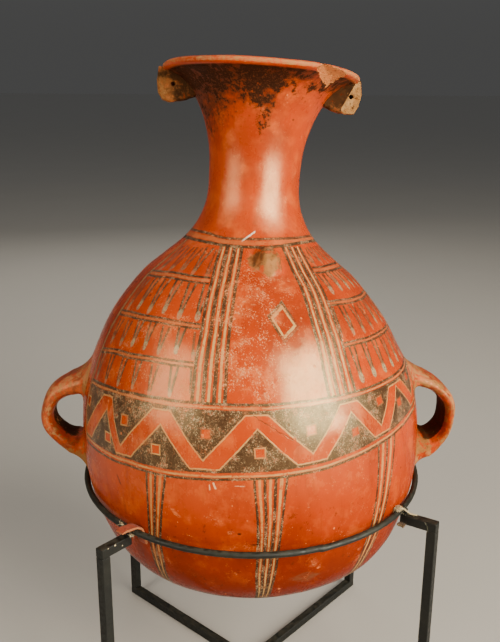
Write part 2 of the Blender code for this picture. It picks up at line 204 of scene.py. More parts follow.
def unevenness(points):
    """How far the hand-built wall stands off the even one."""
    height = points[:, 2]
    calm = ease(height, 0.0, 0.05) * (1 - 0.75 * ease(height, 0.40, 0.47))
    return calm * (0.00045 * lumps(points, 0.16, 3) + 0.00016 * lumps(points, 0.045, 5))


def surface(u, height):
    """Points on the jar's wall."""
    even = around(u, wall_radius(height), height)
    flat = even.reshape(-1, 3)
    outwards = flat * (1.0, 1.0, 0.0)
    outwards /= np.maximum(np.linalg.norm(outwards, axis=1), 1e-9)[:, None]
    return (flat + outwards * unevenness(flat)[:, None]).reshape(even.shape)


# ---------------------------------------------------------------- making objects

def linked(name, data):
    made = bpy.data.objects.new(name, data)
    bpy.context.scene.collection.objects.link(made)
    return made


def mesh_object(name, looks, points, faces, leaned=True, **values):
    """A smooth-shaded object. values are per-point attributes, and "straight" keeps the unleaned place."""
    mesh = bpy.data.meshes.new(name)
    places = lean(points) if leaned else points
    mesh.from_pydata(places.tolist(), [], [list(map(int, f)) for f in faces])
    mesh.update()
    mesh.shade_smooth()
    attribute = mesh.attributes.new("straight", "FLOAT_VECTOR", "POINT")
    attribute.data.foreach_set("vector", points.astype(np.float32).ravel())
    for key, value in values.items():
        attribute = mesh.attributes.new(key, "FLOAT", "POINT")
        attribute.data.foreach_set("value", np.asarray(value, np.float32).ravel())
    for look in looks:
        mesh.materials.append(look)
    return linked(name, mesh)


def grid_faces(rows, columns):
    """Quads between closed rows of points."""
    faces = []
    for j in range(0, (rows - 1) * columns, columns):
        for i in range(columns):
            k = (i + 1) % columns
            faces.append((j + i, j + k, j + columns + k, j + columns + i))
    return faces


def fan(start, count, hub, flipped=False):
    """Triangles from a row of points to a hub."""
    faces = [(start + i, hub, start + (i + 1) % count) for i in range(count)]
    return [face[::-1] for face in faces] if flipped else faces


def renumbered(faces, start):
    """Faces whose points come after start others."""
    return [tuple(start + v for v in face) for face in faces]


def outwards_from_middles(rings):
    """Unit vectors to each point of each ring from the ring's middle."""
    middles = np.repeat(np.stack([r.mean(axis=0) for r in rings]), len(rings[0]), axis=0)
    return unit(np.concatenate(rings) - middles)


def finished_mesh(source):
    """The mesh of source with its modifiers applied, in world space. source is removed."""
    bpy.context.view_layer.update()
    graph = bpy.context.evaluated_depsgraph_get()
    mesh = bpy.data.meshes.new_from_object(source.evaluated_get(graph))
    mesh.transform(source.matrix_world)
    bpy.data.objects.remove(source, do_unlink=True)
    return mesh


# ---------------------------------------------------------------- node helpers

class Field:
    """A value in a node tree. Arithmetic on it adds Math nodes."""

    def __init__(self, socket):
        self.socket = socket

    def __add__(self, other):
        return calc("ADD", self, other)

    def __sub__(self, other):
        return calc("SUBTRACT", self, other)

    def __rsub__(self, other):
        return calc("SUBTRACT", other, self)

    def __mul__(self, other):
        return calc("MULTIPLY", self, other)

    def __truediv__(self, other):
        return calc("DIVIDE", self, other)


TREES = []                      # the node trees being made, the innermost last


def feed(socket, value):
    """Link a field to a socket, or set the socket's own value."""
    if isinstance(value, Field):
        TREES[-1].links.new(value.socket, socket)
    elif isinstance(value, tuple) and socket.type == "RGBA":
        socket.default_value = (*value[:3], 1.0)
    else:
        socket.default_value = value


def node(kind, inputs=(), **settings):
    """A node of the tree being made, with fields or values by the names or numbers of its inputs."""
    made = TREES[-1].nodes.new(kind)
    for key, value in settings.items():
        setattr(made, key, value)
    for key, value in dict(inputs).items():
        feed(made.inputs[key], value)
    return made


def calc(operation, *values):
    return Field(node("ShaderNodeMath", enumerate(values), operation=operation).outputs[0])


def size_of(value):
    return calc("ABSOLUTE", value)


def largest(*values):
    return functools.reduce(lambda a, b: calc("MAXIMUM", a, b), values)


def smallest(*values):
    return functools.reduce(lambda a, b: calc("MINIMUM", a, b), values)


def above(value, limit):
    return calc("GREATER_THAN", value, limit)


def ramp(value, low, high, start=0.0, end=1.0, interpolation="SMOOTHSTEP"):
    """start where value is low or less, end where it is high or more."""
    inputs = {"Value": value, "From Min": low, "From Max": high, "To Min": start, "To Max": end}
    return Field(node("ShaderNodeMapRange", inputs, interpolation_type=interpolation).outputs["Result"])


def near(distance, half, soft=0.00035):
    """1 where a distance is within half, 0 beyond it."""
    return ramp(size_of(distance), half + soft, half - soft)


def blend(a, b, share):
    """Numbers or fields: a where share is 0, b where it is 1."""
    made = node("ShaderNodeMix", {"Factor": share, "A": a, "B": b}, data_type="FLOAT")
    return Field(made.outputs["Result"])


MIX_COLOUR_A, MIX_COLOUR_B, MIX_COLOUR_RESULT = 6, 7, 2     # the Mix node's sockets for colours


def tint(a, b, share):
    """Colours: a where share is 0, b where it is 1."""
    inputs = {"Factor": share, MIX_COLOUR_A: a, MIX_COLOUR_B: b}
    return Field(node("ShaderNodeMix", inputs, data_type="RGBA").outputs[MIX_COLOUR_RESULT])


def noise(place, scale, detail=2.0, roughness=0.5, colour=False, distortion=0.0):
    inputs = {"Vector": place, "Scale": scale, "Detail": detail, "Roughness": roughness}
    made = node("ShaderNodeTexNoise", {**inputs, "Distortion": distortion})
    return Field(made.outputs["Color" if colour else "Fac"])


def cells(place, scale):
    """Distances to scattered points, and two random numbers for each point."""
    made = node("ShaderNodeTexVoronoi", {"Vector": place, "Scale": scale})
    return Field(made.outputs["Distance"]), *parts(Field(made.outputs["Color"]))[:2]


def vectors(operation, inputs):
    return Field(node("ShaderNodeVectorMath", inputs, operation=operation).outputs[0])


def stretched(place, *rates):
    return vectors("MULTIPLY", {0: place, 1: rates})


def shaken(place, scale, amount, detail=1.0):
    """place moved about by noise, up to about half of amount each way."""
    centred = vectors("SUBTRACT", {0: noise(place, scale, detail, colour=True), 1: (0.5, 0.5, 0.5)})
    return vectors("ADD", {0: place, 1: vectors("SCALE", {0: centred, "Scale": amount})})


def parts(place):
    return [Field(s) for s in node("ShaderNodeSeparateXYZ", {0: place}).outputs]


def joined(*xyz):
    return Field(node("ShaderNodeCombineXYZ", enumerate(xyz)).outputs[0])


def chance(seed):
    """A random number from 0 to 1 for each whole number."""
    return Field(node("ShaderNodeTexWhiteNoise", {"W": seed}, noise_dimensions="1D").outputs["Value"])


def curve(value, places, handles, low, high):
    """A Float Curve through places with both ends 0 to 1, for a value from 0 to 1, then from low to high."""
    made = node("ShaderNodeFloatCurve", {"Value": value})
    line = made.mapping.curves[0]
    while len(line.points) < len(places):
        line.points.new(0.5, 0.5)
    for point, place in zip(line.points, places):
        point.location = place
        point.handle_type = handles
    made.mapping.update()
    return Field(made.outputs[0]) * max(high - low, 1e-9) + low


def drawn(value, points, straight=False):
    """A curve through (position, value) points, flat beyond its ends."""
    xs, ys = zip(*points)
    least, most = min(ys), max(ys)
    places = [((x - xs[0]) / (xs[-1] - xs[0]), (y - least) / max(most - least, 1e-9)) for x, y in points]
    share = ramp(value, xs[0], xs[-1], interpolation="LINEAR")
    return curve(share, places, "VECTOR" if straight else "AUTO_CLAMPED", least, most)


# a Float Curve's table has 256 places, and whole numbers land on places of their own
TABLE_STEP = 20
TABLE_LAST = 255


def listed(index, values):
    """values[index] for a whole-number field."""
    least, most = min(values), max(values)
    shares = [(v - least) / max(most - least, 1e-9) for v in values]
    places = [(i * TABLE_STEP / TABLE_LAST, share) for i, share in enumerate(shares)]
    places.append((1.0, shares[-1]))
    return curve(index * (TABLE_STEP / TABLE_LAST), places, "VECTOR", least, most)


def attribute(name, output="Fac"):
    return Field(node("ShaderNodeAttribute", attribute_name=name).outputs[output])


def tone(*display):
    """A display colour, 0 to 255, as scene-linear numbers."""
    shares = [v / 255 for v in display]
    return tuple(v / 12.92 if v <= 0.04045 else ((v + 0.055) / 1.055) ** 2.4 for v in shares)


def start_material(name):
    made = bpy.data.materials.new(name)
    made.use_nodes = True
    TREES.append(made.node_tree)
    return made


def finish_material(made, sockets, relief=None):
    """Fill the shader's sockets, and raise the surface by relief, a field in millimetres."""
    shader = made.node_tree.nodes["Principled BSDF"]
    if relief is not None:
        bump = node("ShaderNodeBump", {"Distance": 0.001, "Height": relief})
        feed(shader.inputs["Normal"], Field(bump.outputs["Normal"]))
    for key, value in sockets.items():
        feed(shader.inputs[key], value)
    TREES.pop()
    return made


# ---------------------------------------------------------------- painted design

SLIP = (0.520, 0.0520, 0.0015)
SLIP_DEEP = (0.250, 0.0190, 0.0010)
SLIP_LIGHT = (0.680, 0.1150, 0.0100)
SLIP_IN_SHADE = (0.150, 0.0100, 0.0005)
CREAM = tone(200, 162, 98)
CREAM_GREY = tone(176, 156, 120)
UMBER = tone(54, 38, 26)
UMBER_WORN = tone(114, 86, 62)
BISCUIT = tone(178, 128, 80)
OCHRE = tone(158, 108, 60)
PINK = tone(228, 124, 64)
TAN = tone(166, 104, 56)
EARTH = tone(104, 68, 38)
SOOT_AND_SHADE = tone(42, 26, 17)
LIME = tone(214, 172, 126)
RUB_AND_HIGHLIGHT_TONE = tone(196, 118, 76)

BAND_LEFT = -66.8               # where the painted front ends, in degrees from the front
BAND_RIGHT = 84.5
# lines round the jar: degrees from the front, and height
FOOT_LINE = (
    (-68, 0.2360), (-30, 0.2372), (12, 0.2367), (30, 0.2390), (45, 0.2430), (60, 0.2465), (84, 0.2500),
)
FOOT_GAP = ((-68, 0.0045), (-30, 0.0034), (12, 0.0024), (60, 0.0022))
LOW_LINE = ((-68, 0.2885), (-55, 0.2912), (-35, 0.2935), (-10, 0.2930), (60, 0.2935), (84, 0.2930))
HIGH_LINE = ((-68, 0.2930), (-42, 0.2975), (-25, 0.2985), (60, 0.2985), (84, 0.2978))
COLLAR_LOW = ((-180, 0.4255), (-50, 0.4255), (-12, 0.4236), (38, 0.4272), (60, 0.4280), (180, 0.4255))
COLLAR_HIGH = ((-180, 0.4335), (-50, 0.4335), (-20, 0.4305), (10, 0.4315), (60, 0.4328), (180, 0.4335))
SHOULDER_TOP = 0.4249

# the zigzag's turns, and how far aside and how high the square in each stands
ZIGZAG = (
    (-65.0, 0.0, 0.2765), (-50.5, 1.5, 0.2560), (-42.5, 1.5, 0.2760), (-26.5, -1.5, 0.2580),
    (-13.0, 1.0, 0.2755), (3.0, 0.5, 0.2590), (19.0, 0.0, 0.2740), (33.5, 0.5, 0.2600),
    (45.0, 1.5, 0.2770), (58.0, -1.0, 0.2620), (70.0, 0.0, 0.2760), (83.0, 0.0, 0.2620),
)
ZIGZAG_LEVEL = 0.2370           # the foot line's height where the zigzag's own heights are given
ZIGZAG_LOW = 0.2423
ZIGZAG_RISE = 0.0477
ZIGZAG_HALF = 0.0100
SQUARE_HALF = (0.0046, 0.0040)

STRIPES_MIDDLE = 10.0
STRIPES_INNER = 16.5
STRIPES_WIDE = 0.0314           # how wide a group of three stripes is at height 0.30, and how fast it narrows
STRIPES_NARROW = 0.070
STRIPE_HALF = 0.00195
# lines across the side panels: height at the left, share of the dip, height at the right, half width
PANEL_LINES = ((0.3265, 1.0, 0.3398, 0.0017), (0.3565, 0.5, 0.3750, 0.0019), (0.3932, 0.4, 0.4040, 0.0023))
PANEL_DIP = ((-68, -0.0090), (-57, -0.0042), (-45, -0.0012), (-35, 0.0))
# rows of pendants, left panel first: degrees apart, first one, bead's height, strands' reach, strength,
# and half the bead's height
PENDANTS = (
    (7.6, -62.8, 0.3025, 0.0215, 0.55, 0.0030),
    (7.0, -60.5, 0.3350, 0.0185, 0.90, 0.0037),
    (8.2, -61.5, 0.3645, 0.0260, 0.85, 0.0042),
    (9.0, -60.0, 0.4000, 0.0220, 0.35, 0.0035),
    (7.0, 35.5, 0.3078, 0.0290, 1.00, 0.0052),
    (7.2, 38.0, 0.3500, 0.0225, 0.85, 0.0036),
    (8.0, 37.0, 0.3868, 0.0140, 0.80, 0.0040),
    (9.0, 38.0, 0.4110, 0.0130, 0.30, 0.0030),
)
STRAND_HALF = 0.00132
STRAND_FROM = 0.0012            # how far aside a pendant's strands start
STRAND_SPREAD = 0.0026          # and how much further aside they end
LOZENGE_U = 14.4
LOZENGE_HEIGHT = 0.3625
LOZENGE_HALF = (4.9, 0.0131)    # degrees and metres

LOWER_SPACING = 38.0
LOWER_STRIPE_HALF = 0.00150
# groups of stripes below the band, about that far apart: middle and half width in degrees, stripes less one,
# and slant in degrees a metre
LOWER_STRIPES = (
    (-180.0, 0.0, 2.0, 40.0), (-148.0, 3.6, 2.0, 40.0), (-104.0, 3.8, 2.0, 40.0), (-64.0, 0.0, 2.0, 40.0),
    (-28.3, 3.3, 2.0, 42.0), (6.2, 4.8, 3.0, 20.0), (46.7, 4.2, 2.0, 45.0), (88.0, 3.8, 2.0, 40.0),
    (124.0, 3.6, 2.0, 40.0), (160.0, 3.8, 2.0, 40.0), (180.0, 0.0, 2.0, 40.0),
)
LOWER_TOP = 0.235
# height, and share of the full width there
LOWER_NARROWING = (
    (0.02, 0.15), (0.05, 0.30), (0.11, 0.51), (0.14, 0.65), (0.17, 0.67), (0.20, 0.78), (LOWER_TOP, 1.0),
)


def painted_places(place):
    """Where a place of the straight frame stands in the design, shaken as a brush shakes."""
    x, y, h = parts(shaken(shaken(place, 26.0, 0.0022), 330.0, 0.0011, 2.0))
    r = calc("SQRT", x * x + y * y)
    u = calc("ARCTAN2", x, y * -1.0) * math.degrees(1.0)
    at = SimpleNamespace(u=u, h=h, r=r, arc=r * math.radians(1.0))
    at.front = above(u, BAND_LEFT) * above(BAND_RIGHT, u)
    at.foot = h - drawn(u, FOOT_LINE)
    low, high = drawn(u, LOW_LINE), drawn(u, HIGH_LINE)
    at.low, at.high, at.between = h - low, h - high, h - high * 0.5 - low * 0.5
    at.below_top = ramp(h, SHOULDER_TOP + 0.0003, SHOULDER_TOP - 0.0003)
    at.shoulder = ramp(at.high, -0.0003, 0.0003) * at.below_top
    at.aside = (size_of(u - STRIPES_MIDDLE) - STRIPES_INNER) * at.arc
    at.wide = (h - 0.30) * -STRIPES_NARROW + STRIPES_WIDE
    return at


def belly_band(at):
    """Umber and cream of the zigzag with a square in each turn, and of the lines that bound the band."""
    level = at.foot + ZIGZAG_LEVEL
    phase = drawn(at.u, [(turn[0], float(i)) for i, turn in enumerate(ZIGZAG)], straight=True)
    swing = size_of(phase - calc("ROUND", phase * 0.5) * 2.0)
    zig = size_of(level - ZIGZAG_LOW - swing * ZIGZAG_RISE) - ZIGZAG_HALF
    clip = largest(0.2462 - level, at.low + 0.0032)
    inside = smallest(ramp(zig, 0.0003, -0.0003), ramp(clip, 0.0003, -0.0003))
    rim = smallest(ramp(zig, 0.0020, 0.0014), ramp(clip, 0.0015, 0.0009))
    rim = rim * ramp(largest(zig, clip), -0.0004, 0.0001)
    cell = calc("ROUND", phase)
    middle = listed(cell, [turn + aside for turn, aside, height in ZIGZAG])
    height = listed(cell, [height for turn, aside, height in ZIGZAG])
    wide, tall = SQUARE_HALF
    square = largest(size_of(at.u - middle) * at.arc / wide, size_of(level - height) / tall)
    keen = chance(cell * 7.31 + 2.0)
    square_rim = ramp(square, 1.22, 1.12) * ramp(square, 0.80, 0.92) * ramp(keen, 0.15, 0.55, 0.25, 1.0)
    ground = ramp(at.foot, 0.0054, 0.0062) * ramp(at.low, 0.0012, 0.0004) * at.front
    ground = ground * (1.0 - inside) * (1.0 - ramp(square, 0.92, 0.82))
    cream = largest(rim, square_rim) * at.front
    lines = largest(near(at.foot, 0.00115), near(at.low, 0.0011), near(at.high, 0.0012)) * at.front
    pale = largest(near(at.foot - drawn(at.u, FOOT_GAP), 0.0009) * 0.85, near(at.between, 0.0008) * 0.55)
    return largest(ground * (1.0 - cream), lines), largest(cream, pale * at.front)


def shoulder_stripes(at):
    """Umber and cream of the upright stripes either side of the shoulder's middle."""
    q = at.aside / at.wide * 3.0
    step = size_of(q - calc("ROUND", q)) * at.wide / 3.0
    within = ramp(size_of(at.aside / at.wide - 0.5), 0.555, 0.545) * at.shoulder
    return near(step, STRIPE_HALF) * within, ramp(step * 6.0 / at.wide, 0.66, 0.84) * within


def side_panels(at):
    """Umber, cream and grey of the cross lines and the rows of pendants in the side panels."""
    right = above(at.u, STRIPES_MIDDLE)
    dip = drawn(at.u, PANEL_DIP)
    panel = ramp(at.aside - at.wide, 0.0016, 0.0022) * at.shoulder
    panel = panel * above(at.u, BAND_LEFT + 1.0) * above(BAND_RIGHT - 1.0, at.u)
    cross_lines, creams = [], []
    row = right * 4.0
    for left_height, left_dip, right_height, half in PANEL_LINES:
        line = blend(dip * left_dip + left_height, right_height, right)
        cross_lines.append(near(size_of(at.h - line) - half, 0.00085))
        creams.append(near(at.h - line, half * 0.4) * panel * 0.30)
        row = row + above(at.h, line)
    period, first, bead_at, reach, strength, bead_half = (listed(row, column) for column in zip(*PENDANTS))
    c = (at.u - first) / period
    k = calc("ROUND", c)
    luck = chance(k * 3.17 + row * 11.3)
    beside = size_of((c - k) * period * at.arc)
    up = at.h - bead_at - (luck - 0.5) * 0.0035 - dip * 0.6
    bead_x = beside / (bead_half * 0.66)
    bead_y = up / bead_half
    bead = ramp(bead_x * bead_x + bead_y * bead_y, 1.35, 0.70) * panel
    climb = up / reach
    off = beside - (climb * STRAND_SPREAD + STRAND_FROM)
    strand = near(off, STRAND_HALF) * ramp(climb, 0.0, 0.08) * ramp(climb, 1.02, 0.98) * panel
    strand = strand * ramp(luck, 0.0, 0.3, 0.80, 1.0) * ramp(strength, 0.2, 0.8, 0.85, 1.0)
    core = ramp(off, 0.0002, -0.0004) * ramp(climb, 0.0, 0.1) * ramp(climb, 1.0, 0.45) * panel
    grey = largest(bead * ramp(luck, 0.1, 0.6, 0.45, 1.0), core * 0.32 * luck) * strength
    return largest(largest(*cross_lines) * panel, strand), largest(*creams), grey


def collar(at):
    """Umber and cream of the two lines round the foot of the neck."""
    low, high = drawn(at.u, COLLAR_LOW), drawn(at.u, COLLAR_HIGH)
    umber = largest(near(at.h - low, 0.0014), near(at.h - high, 0.0012) * 0.9)
    return umber, near(at.h - low * 0.5 - high * 0.5, 0.0017) * 0.25


def lozenge(at):
    """Umber and cream of the lozenge in the middle of the shoulder, its shadow heavier on one side."""
    up = at.h - LOZENGE_HEIGHT
    aside = at.u - LOZENGE_U - up * 45.0
    half_u, half_height = LOZENGE_HALF
    edge = size_of(aside) / half_u + size_of(up + aside * 0.00070) / half_height
    shadow = ramp(size_of(edge - 1.23), 0.16, 0.09) * ramp(up * 400.0 - aside, -6.0, 1.0, 0.45, 1.0)
    return shadow, ramp(size_of(edge - 0.94), 0.15, 0.10)


def lower_stripes(at):
    """Umber and cream of the groups of stripes that run down to the base."""
    index = calc("ROUND", (at.u - 8.0) / LOWER_SPACING) + 5.0
    centre, wide, gaps, slant = (listed(index, column) for column in zip(*LOWER_STRIPES))
    half = wide * drawn(at.h, LOWER_NARROWING) * at.arc + 0.00001
    off = (at.u - centre + (LOWER_TOP - at.h) * slant) * at.arc
    q = (off / half + 1.0) * 0.5 * gaps
    pitch = half * 2.0 / gaps
    step = size_of(q - calc("ROUND", q)) * pitch
    within = ramp(size_of(off) - half, 0.0014, 0.0009) * ramp(at.foot, 0.0004, -0.0004) * ramp(wide, 0.5, 1.0)
    return near(step, LOWER_STRIPE_HALF) * within, ramp(step * 2.0 / pitch, 0.62, 0.84) * within * 0.92


def jar_design(place):
    """The painted design at a place in the straight frame: its places, and masks of umber, cream and grey."""
    at = painted_places(place)
    panel_umber, panel_cream, grey = side_panels(at)
    umber, cream = belly_band(at)
    stripe_umber, stripe_cream = shoulder_stripes(at)
    umber = largest(umber, stripe_umber, panel_umber)
    cream = largest(cream, stripe_cream, panel_cream)

    # upright borders of the painted front
    edge = smallest(size_of(at.u - BAND_LEFT), size_of(at.u - BAND_RIGHT)) * at.arc
    edged = ramp(at.foot, -0.0004, 0.0004) * at.below_top
    within = ramp(edge, 0.0012, 0.0016)
    umber = largest(umber * within, near(edge - 0.0019, 0.0009) * edged * 0.95)
    cream = largest(cream * within, ramp(edge, 0.0013, 0.0007) * edged * 0.7)

    for dark, light in (collar(at), lozenge(at), lower_stripes(at)):
        umber, cream = largest(umber, dark), largest(cream, light)
    return at, umber, cream, grey


# ---------------------------------------------------------------- ceramic material

# soot's lower edge under the rim: degrees from the front, and height
SOOT_HANG = (
    (-180, 0.566), (-90, 0.550), (-66, 0.532), (-44, 0.538), (-25, 0.544), (-9, 0.542),
    (-3, 0.537), (9, 0.531), (15, 0.555), (30, 0.568), (52, 0.562), (180, 0.566),
)
SOOT_DEPTH = 0.030
NECK_ROUND = 0.055              # patterns of soot run as on a neck of this radius all the way up
# u, height, slant in degrees a metre, half width and its softness in degrees, half height and its softness
MARKS = {
    "nick_left": (-11.3, 0.2300, 0.0, 0.17, 0.10, 0.0024, 0.0008),
    "nick_right": (-9.878, 0.2316, 110.0, 0.26, 0.12, 0.0030, 0.0008),
    "nick_low": (-5.7, 0.1850, 0.0, 0.60, 0.7, 0.0010, 0.0018),
    "scuff": (-6.3, 0.1848, 0.0, 0.55, 0.5, 0.0014, 0.0012),
    "scuff_slanted": (-22.7, 0.2020, 260.0, 0.75, 0.5, 0.0048, 0.0020),
    "dark_left": (-44.1, 0.2190, 150.0, 0.30, 0.15, 0.0045, 0.0015),
    "dark_middle": (0.65, 0.1725, 0.0, 0.80, 0.6, 0.0022, 0.0014),
    "pit": (-3.6, 0.1838, 0.0, 0.50, 0.25, 0.0009, 0.0006),
}


def lay(look, colour, share):
    """Put a colour over a share of the surface."""
    look.colour = tint(look.colour, colour, share)


def burnished(place, grit, dull):
    """Burnished red slip, deeper in clouds, with painted shade darkening it towards the base."""
    low = parts(place)[2]
    streak = noise(stretched(place, 1.0, 1.0, 0.16), 150.0, 3.0, 0.6)
    look = SimpleNamespace(colour=tint(SLIP, SLIP_DEEP, ramp(grit.cloud, 0.42, 0.72) * 0.75))
    lay(look, SLIP_LIGHT, ramp(grit.mottle, 0.48, 0.72) * 0.55)
    lay(look, SLIP_DEEP, ramp(streak, 0.52, 0.75) * 0.40)
    lay(look, SLIP_LIGHT, ramp(grit.grain, 0.60, 0.75) * 0.35)
    # painted shade: the slip darkens towards the base
    lay(look, SLIP_IN_SHADE, ramp(low + (grit.mottle - 0.5) * 0.05, 0.240, 0.095) * 0.90)
    look.relief = grit.cloud * 0.6 + grit.mottle * 0.12 + streak * 0.050 + grit.grain * 0.028
    look.rough = ramp(grit.mottle + streak * 0.5, 0.55, 0.95, 0.19, 0.31) + dull
    look.rough += ramp(grit.grain, 0.5, 0.8) * 0.06 + ramp(low, 0.40, 0.45) * 0.07
    look.gloss = ramp(low, 0.19, 0.262, 0.05, 0.85) * ramp(low, 0.49, 0.545, 1.0, 0.30)
    look.gloss *= ramp(grit.grain, 0.38, 0.50, 0.70, 1.0)
    return look


def lay_design(look, grit, at, umber, cream, grey):
    """Umber and cream paint, worn thin."""
    umber = umber * ramp(grit.worn * 0.55 + grit.fleck * 0.45, 0.64, 0.54, 0.52, 0.97)
    cream = cream * ramp(grit.worn * 0.5 + grit.fleck * 0.5, 0.66, 0.50)
    cream = cream * ramp(grit.mottle, 0.35, 0.6, 1.0, 0.7)
    lay(look, CREAM, cream * 0.92)
    ground = tint(UMBER, UMBER_WORN, ramp(grit.fleck * 0.6 + grit.worn * 0.4, 0.46, 0.62) * 0.80)
    ground = tint(ground, CREAM_GREY, ramp(grit.speck * 0.55 + grit.worn * 0.45, 0.525, 0.61) * 0.8)
    lay(look, ground, umber)
    lay(look, CREAM_GREY, grey * ramp(grit.worn * 0.4 + grit.fleck * 0.6, 0.60, 0.50, 0.35, 1.0))
    lay(look, UMBER, grey * ramp(grit.speck * 0.6 + grit.fleck * 0.4, 0.515, 0.57) * 0.75)
    look.gloss *= 1.0 - ramp(at.u, 28.0, 58.0) * ramp(at.h, 0.262, 0.240) * 0.85
    look.rough += umber * 0.10 + cream * 0.14
    look.relief += cream * 0.05 + umber * 0.03
    return umber


def lay_lime(look, grit, at, place, umber):
    """Lime and worn pale pink slip over the middle of the shoulder and the left of the belly band; the pink
    is partly a painted highlight haze.
    """
    lime_and_highlight_patch = ramp(size_of(at.u - 2.0), 24.0, 6.0) * ramp(at.h, 0.292, 0.315) * ramp(at.h, 0.425, 0.395)
    beside = ramp(size_of(at.u + 32.0), 34.0, 10.0) * ramp(size_of(at.h - 0.33), 0.09, 0.03)
    lime_and_highlight_patch = largest(lime_and_highlight_patch, beside * 0.55)
    lime = noise(place, 62.0, 5.0, 0.72)
    # pink mottle, partly a painted highlight haze over the patch
    bloom_and_highlight = ramp(lime * 0.6 + grit.fleck * 0.25 + grit.mottle * 0.15 + lime_and_highlight_patch * 0.092, 0.545, 0.63)
    lay(look, PINK, bloom_and_highlight * ramp(grit.speck, 0.40, 0.62, 0.1, 0.4))
    limed = ramp(lime * 0.38 + grit.fleck * 0.37 + grit.speck * 0.25 + lime_and_highlight_patch * 0.068, 0.590, 0.650)
    lay(look, LIME, limed * 0.42)
    look.gloss *= ramp(limed + umber * 0.2, 0.0, 1.0, 1.0, 0.6)
    look.rough += limed * 0.2
    look.relief += limed * 0.06


def lay_soot(look, grit, at):
    """Soot under the rim: a brown film, and black where it is thick."""
    depth = (at.h - drawn(at.u, SOOT_HANG)) / SOOT_DEPTH
    patchy = (grit.blotch - 0.5) * 1.3 + (grit.dab - 0.5) * 1.2 + (grit.fleck - 0.5) * 0.4
    below_lip = ramp(at.h, 0.5925, 0.5905) * attribute("outside")
    film = depth * 0.50 + patchy + ramp(at.h, 0.572, 0.586) * 0.3 + ramp(at.u, -8.0, -50.0) * 0.22
    film = ramp(film, 0.00, 0.62) * below_lip * ramp(depth, -0.7, 0.1)
    black = smallest(depth, 1.0) * 0.32 + patchy * 1.25 + ramp(at.h, 0.562, 0.582) * 0.20
    black = black + ramp(size_of(at.u - 2.0), 13.0, 5.0) * 0.16
    black = ramp(black, 0.29, 0.50) * below_lip * ramp(depth, -0.6, 0.1)
    lay(look, tone(84, 38, 22), film * 0.92)
    lay(look, SOOT_AND_SHADE, black * 0.90)
    soot = largest(film * 0.6, black)
    lay(look, tone(122, 66, 40), soot * ramp(grit.fleck * 0.5 + grit.speck * 0.5, 0.53, 0.60) * 0.55)
    look.rough += soot * 0.25
    look.gloss *= 1.0 - soot * 0.75
    look.relief += black * grit.blotch * 0.25


def lay_marks(look, grit, at, place):
    """Scratches, nicks, scuffs, stains and a crack."""
    def mark(name):
        u, height, slant, wide, wide_soft, tall, tall_soft = MARKS[name]
        up = at.h - height
        return near(at.u - u + up * slant, wide, wide_soft) * near(up, tall, tall_soft)

    along = (at.u + 8.0) / 11.5
    scratch = near(at.h - 0.4288 - along * 0.0096, 0.0010) * ramp(size_of(along - 0.5), 0.52, 0.46)
    scraped = size_of(at.u - 18.0) / 7.5 + size_of(at.h - 0.1225) / 0.0100 + (grit.blotch - 0.5) * 1.6
    scraped = ramp(scraped, 1.0, 0.6) * ramp(grit.dab, 0.42, 0.54, 0.25, 0.80)
    scuff = mark("scuff") + mark("scuff_slanted") * ramp(grit.dab, 0.44, 0.56)
    nick_flat = near(at.u + 2.8, 1.35, 0.5) * near(at.h - 0.2308 + (at.u + 2.8) * 0.00025, 0.00035, 0.0003)
    nicks = largest(mark("nick_left"), mark("nick_right"), nick_flat * 0.7,
                    mark("nick_low") * ramp(grit.dab, 0.42, 0.56) * 0.8)
    dark = largest(mark("dark_left"), mark("dark_middle") * ramp(grit.dab, 0.40, 0.52))
    pit = mark("pit")
    crack_at = 0.2900 - (at.u - 2.0) * 0.0020 + (noise(place, 300.0, 2.0) - 0.5) * 0.003
    crack = near(at.h - crack_at, 0.00028, 0.0002) * ramp(size_of(at.u - 7.5), 6.2, 5.2)
    stain = ramp(noise(place, 120.0, 4.0, 0.7), 0.60, 0.68) * ramp(at.h, 0.215, 0.19)
    stain = stain * ramp(size_of(at.u), 60.0, 20.0, 0.25, 1.0)
    for colour, share in (
        (tone(116, 62, 36), scraped),
        (tone(240, 230, 210), scratch * ramp(grit.fleck, 0.3, 0.5) * ramp(along, 0.0, 0.6, 0.55, 1.0)),
        (PINK, scuff * 0.7 * ramp(grit.fleck, 0.36, 0.50)),
        (tone(236, 186, 138), nicks * ramp(grit.fleck, 0.34, 0.46)),
        (tone(52, 24, 14), dark * 0.85),
        (tone(74, 30, 16), largest(crack, stain * 0.6, pit)),
    ):
        lay(look, colour, share)
    look.relief -= largest(crack * 0.3, pit * 0.5)


def lay_bits(look, place):
    """Bits of lime that stand on the slip, and small holes in it."""
    distance, kept, size = cells(place, 75.0)
    bit = ramp(distance - size * 0.05, 0.085, 0.045) * ramp(kept, 0.72, 0.76)
    distance, kept, size = cells(shaken(place, 200.0, 0.002), 52.0)
    hole = ramp(distance - size * 0.035, 0.060, 0.025) * ramp(kept, 0.62, 0.66)
    lay(look, PINK, bit * 0.75)
    lay(look, tone(80, 34, 18), hole * 0.80)
    look.relief += bit * 0.15 - hole * 0.12


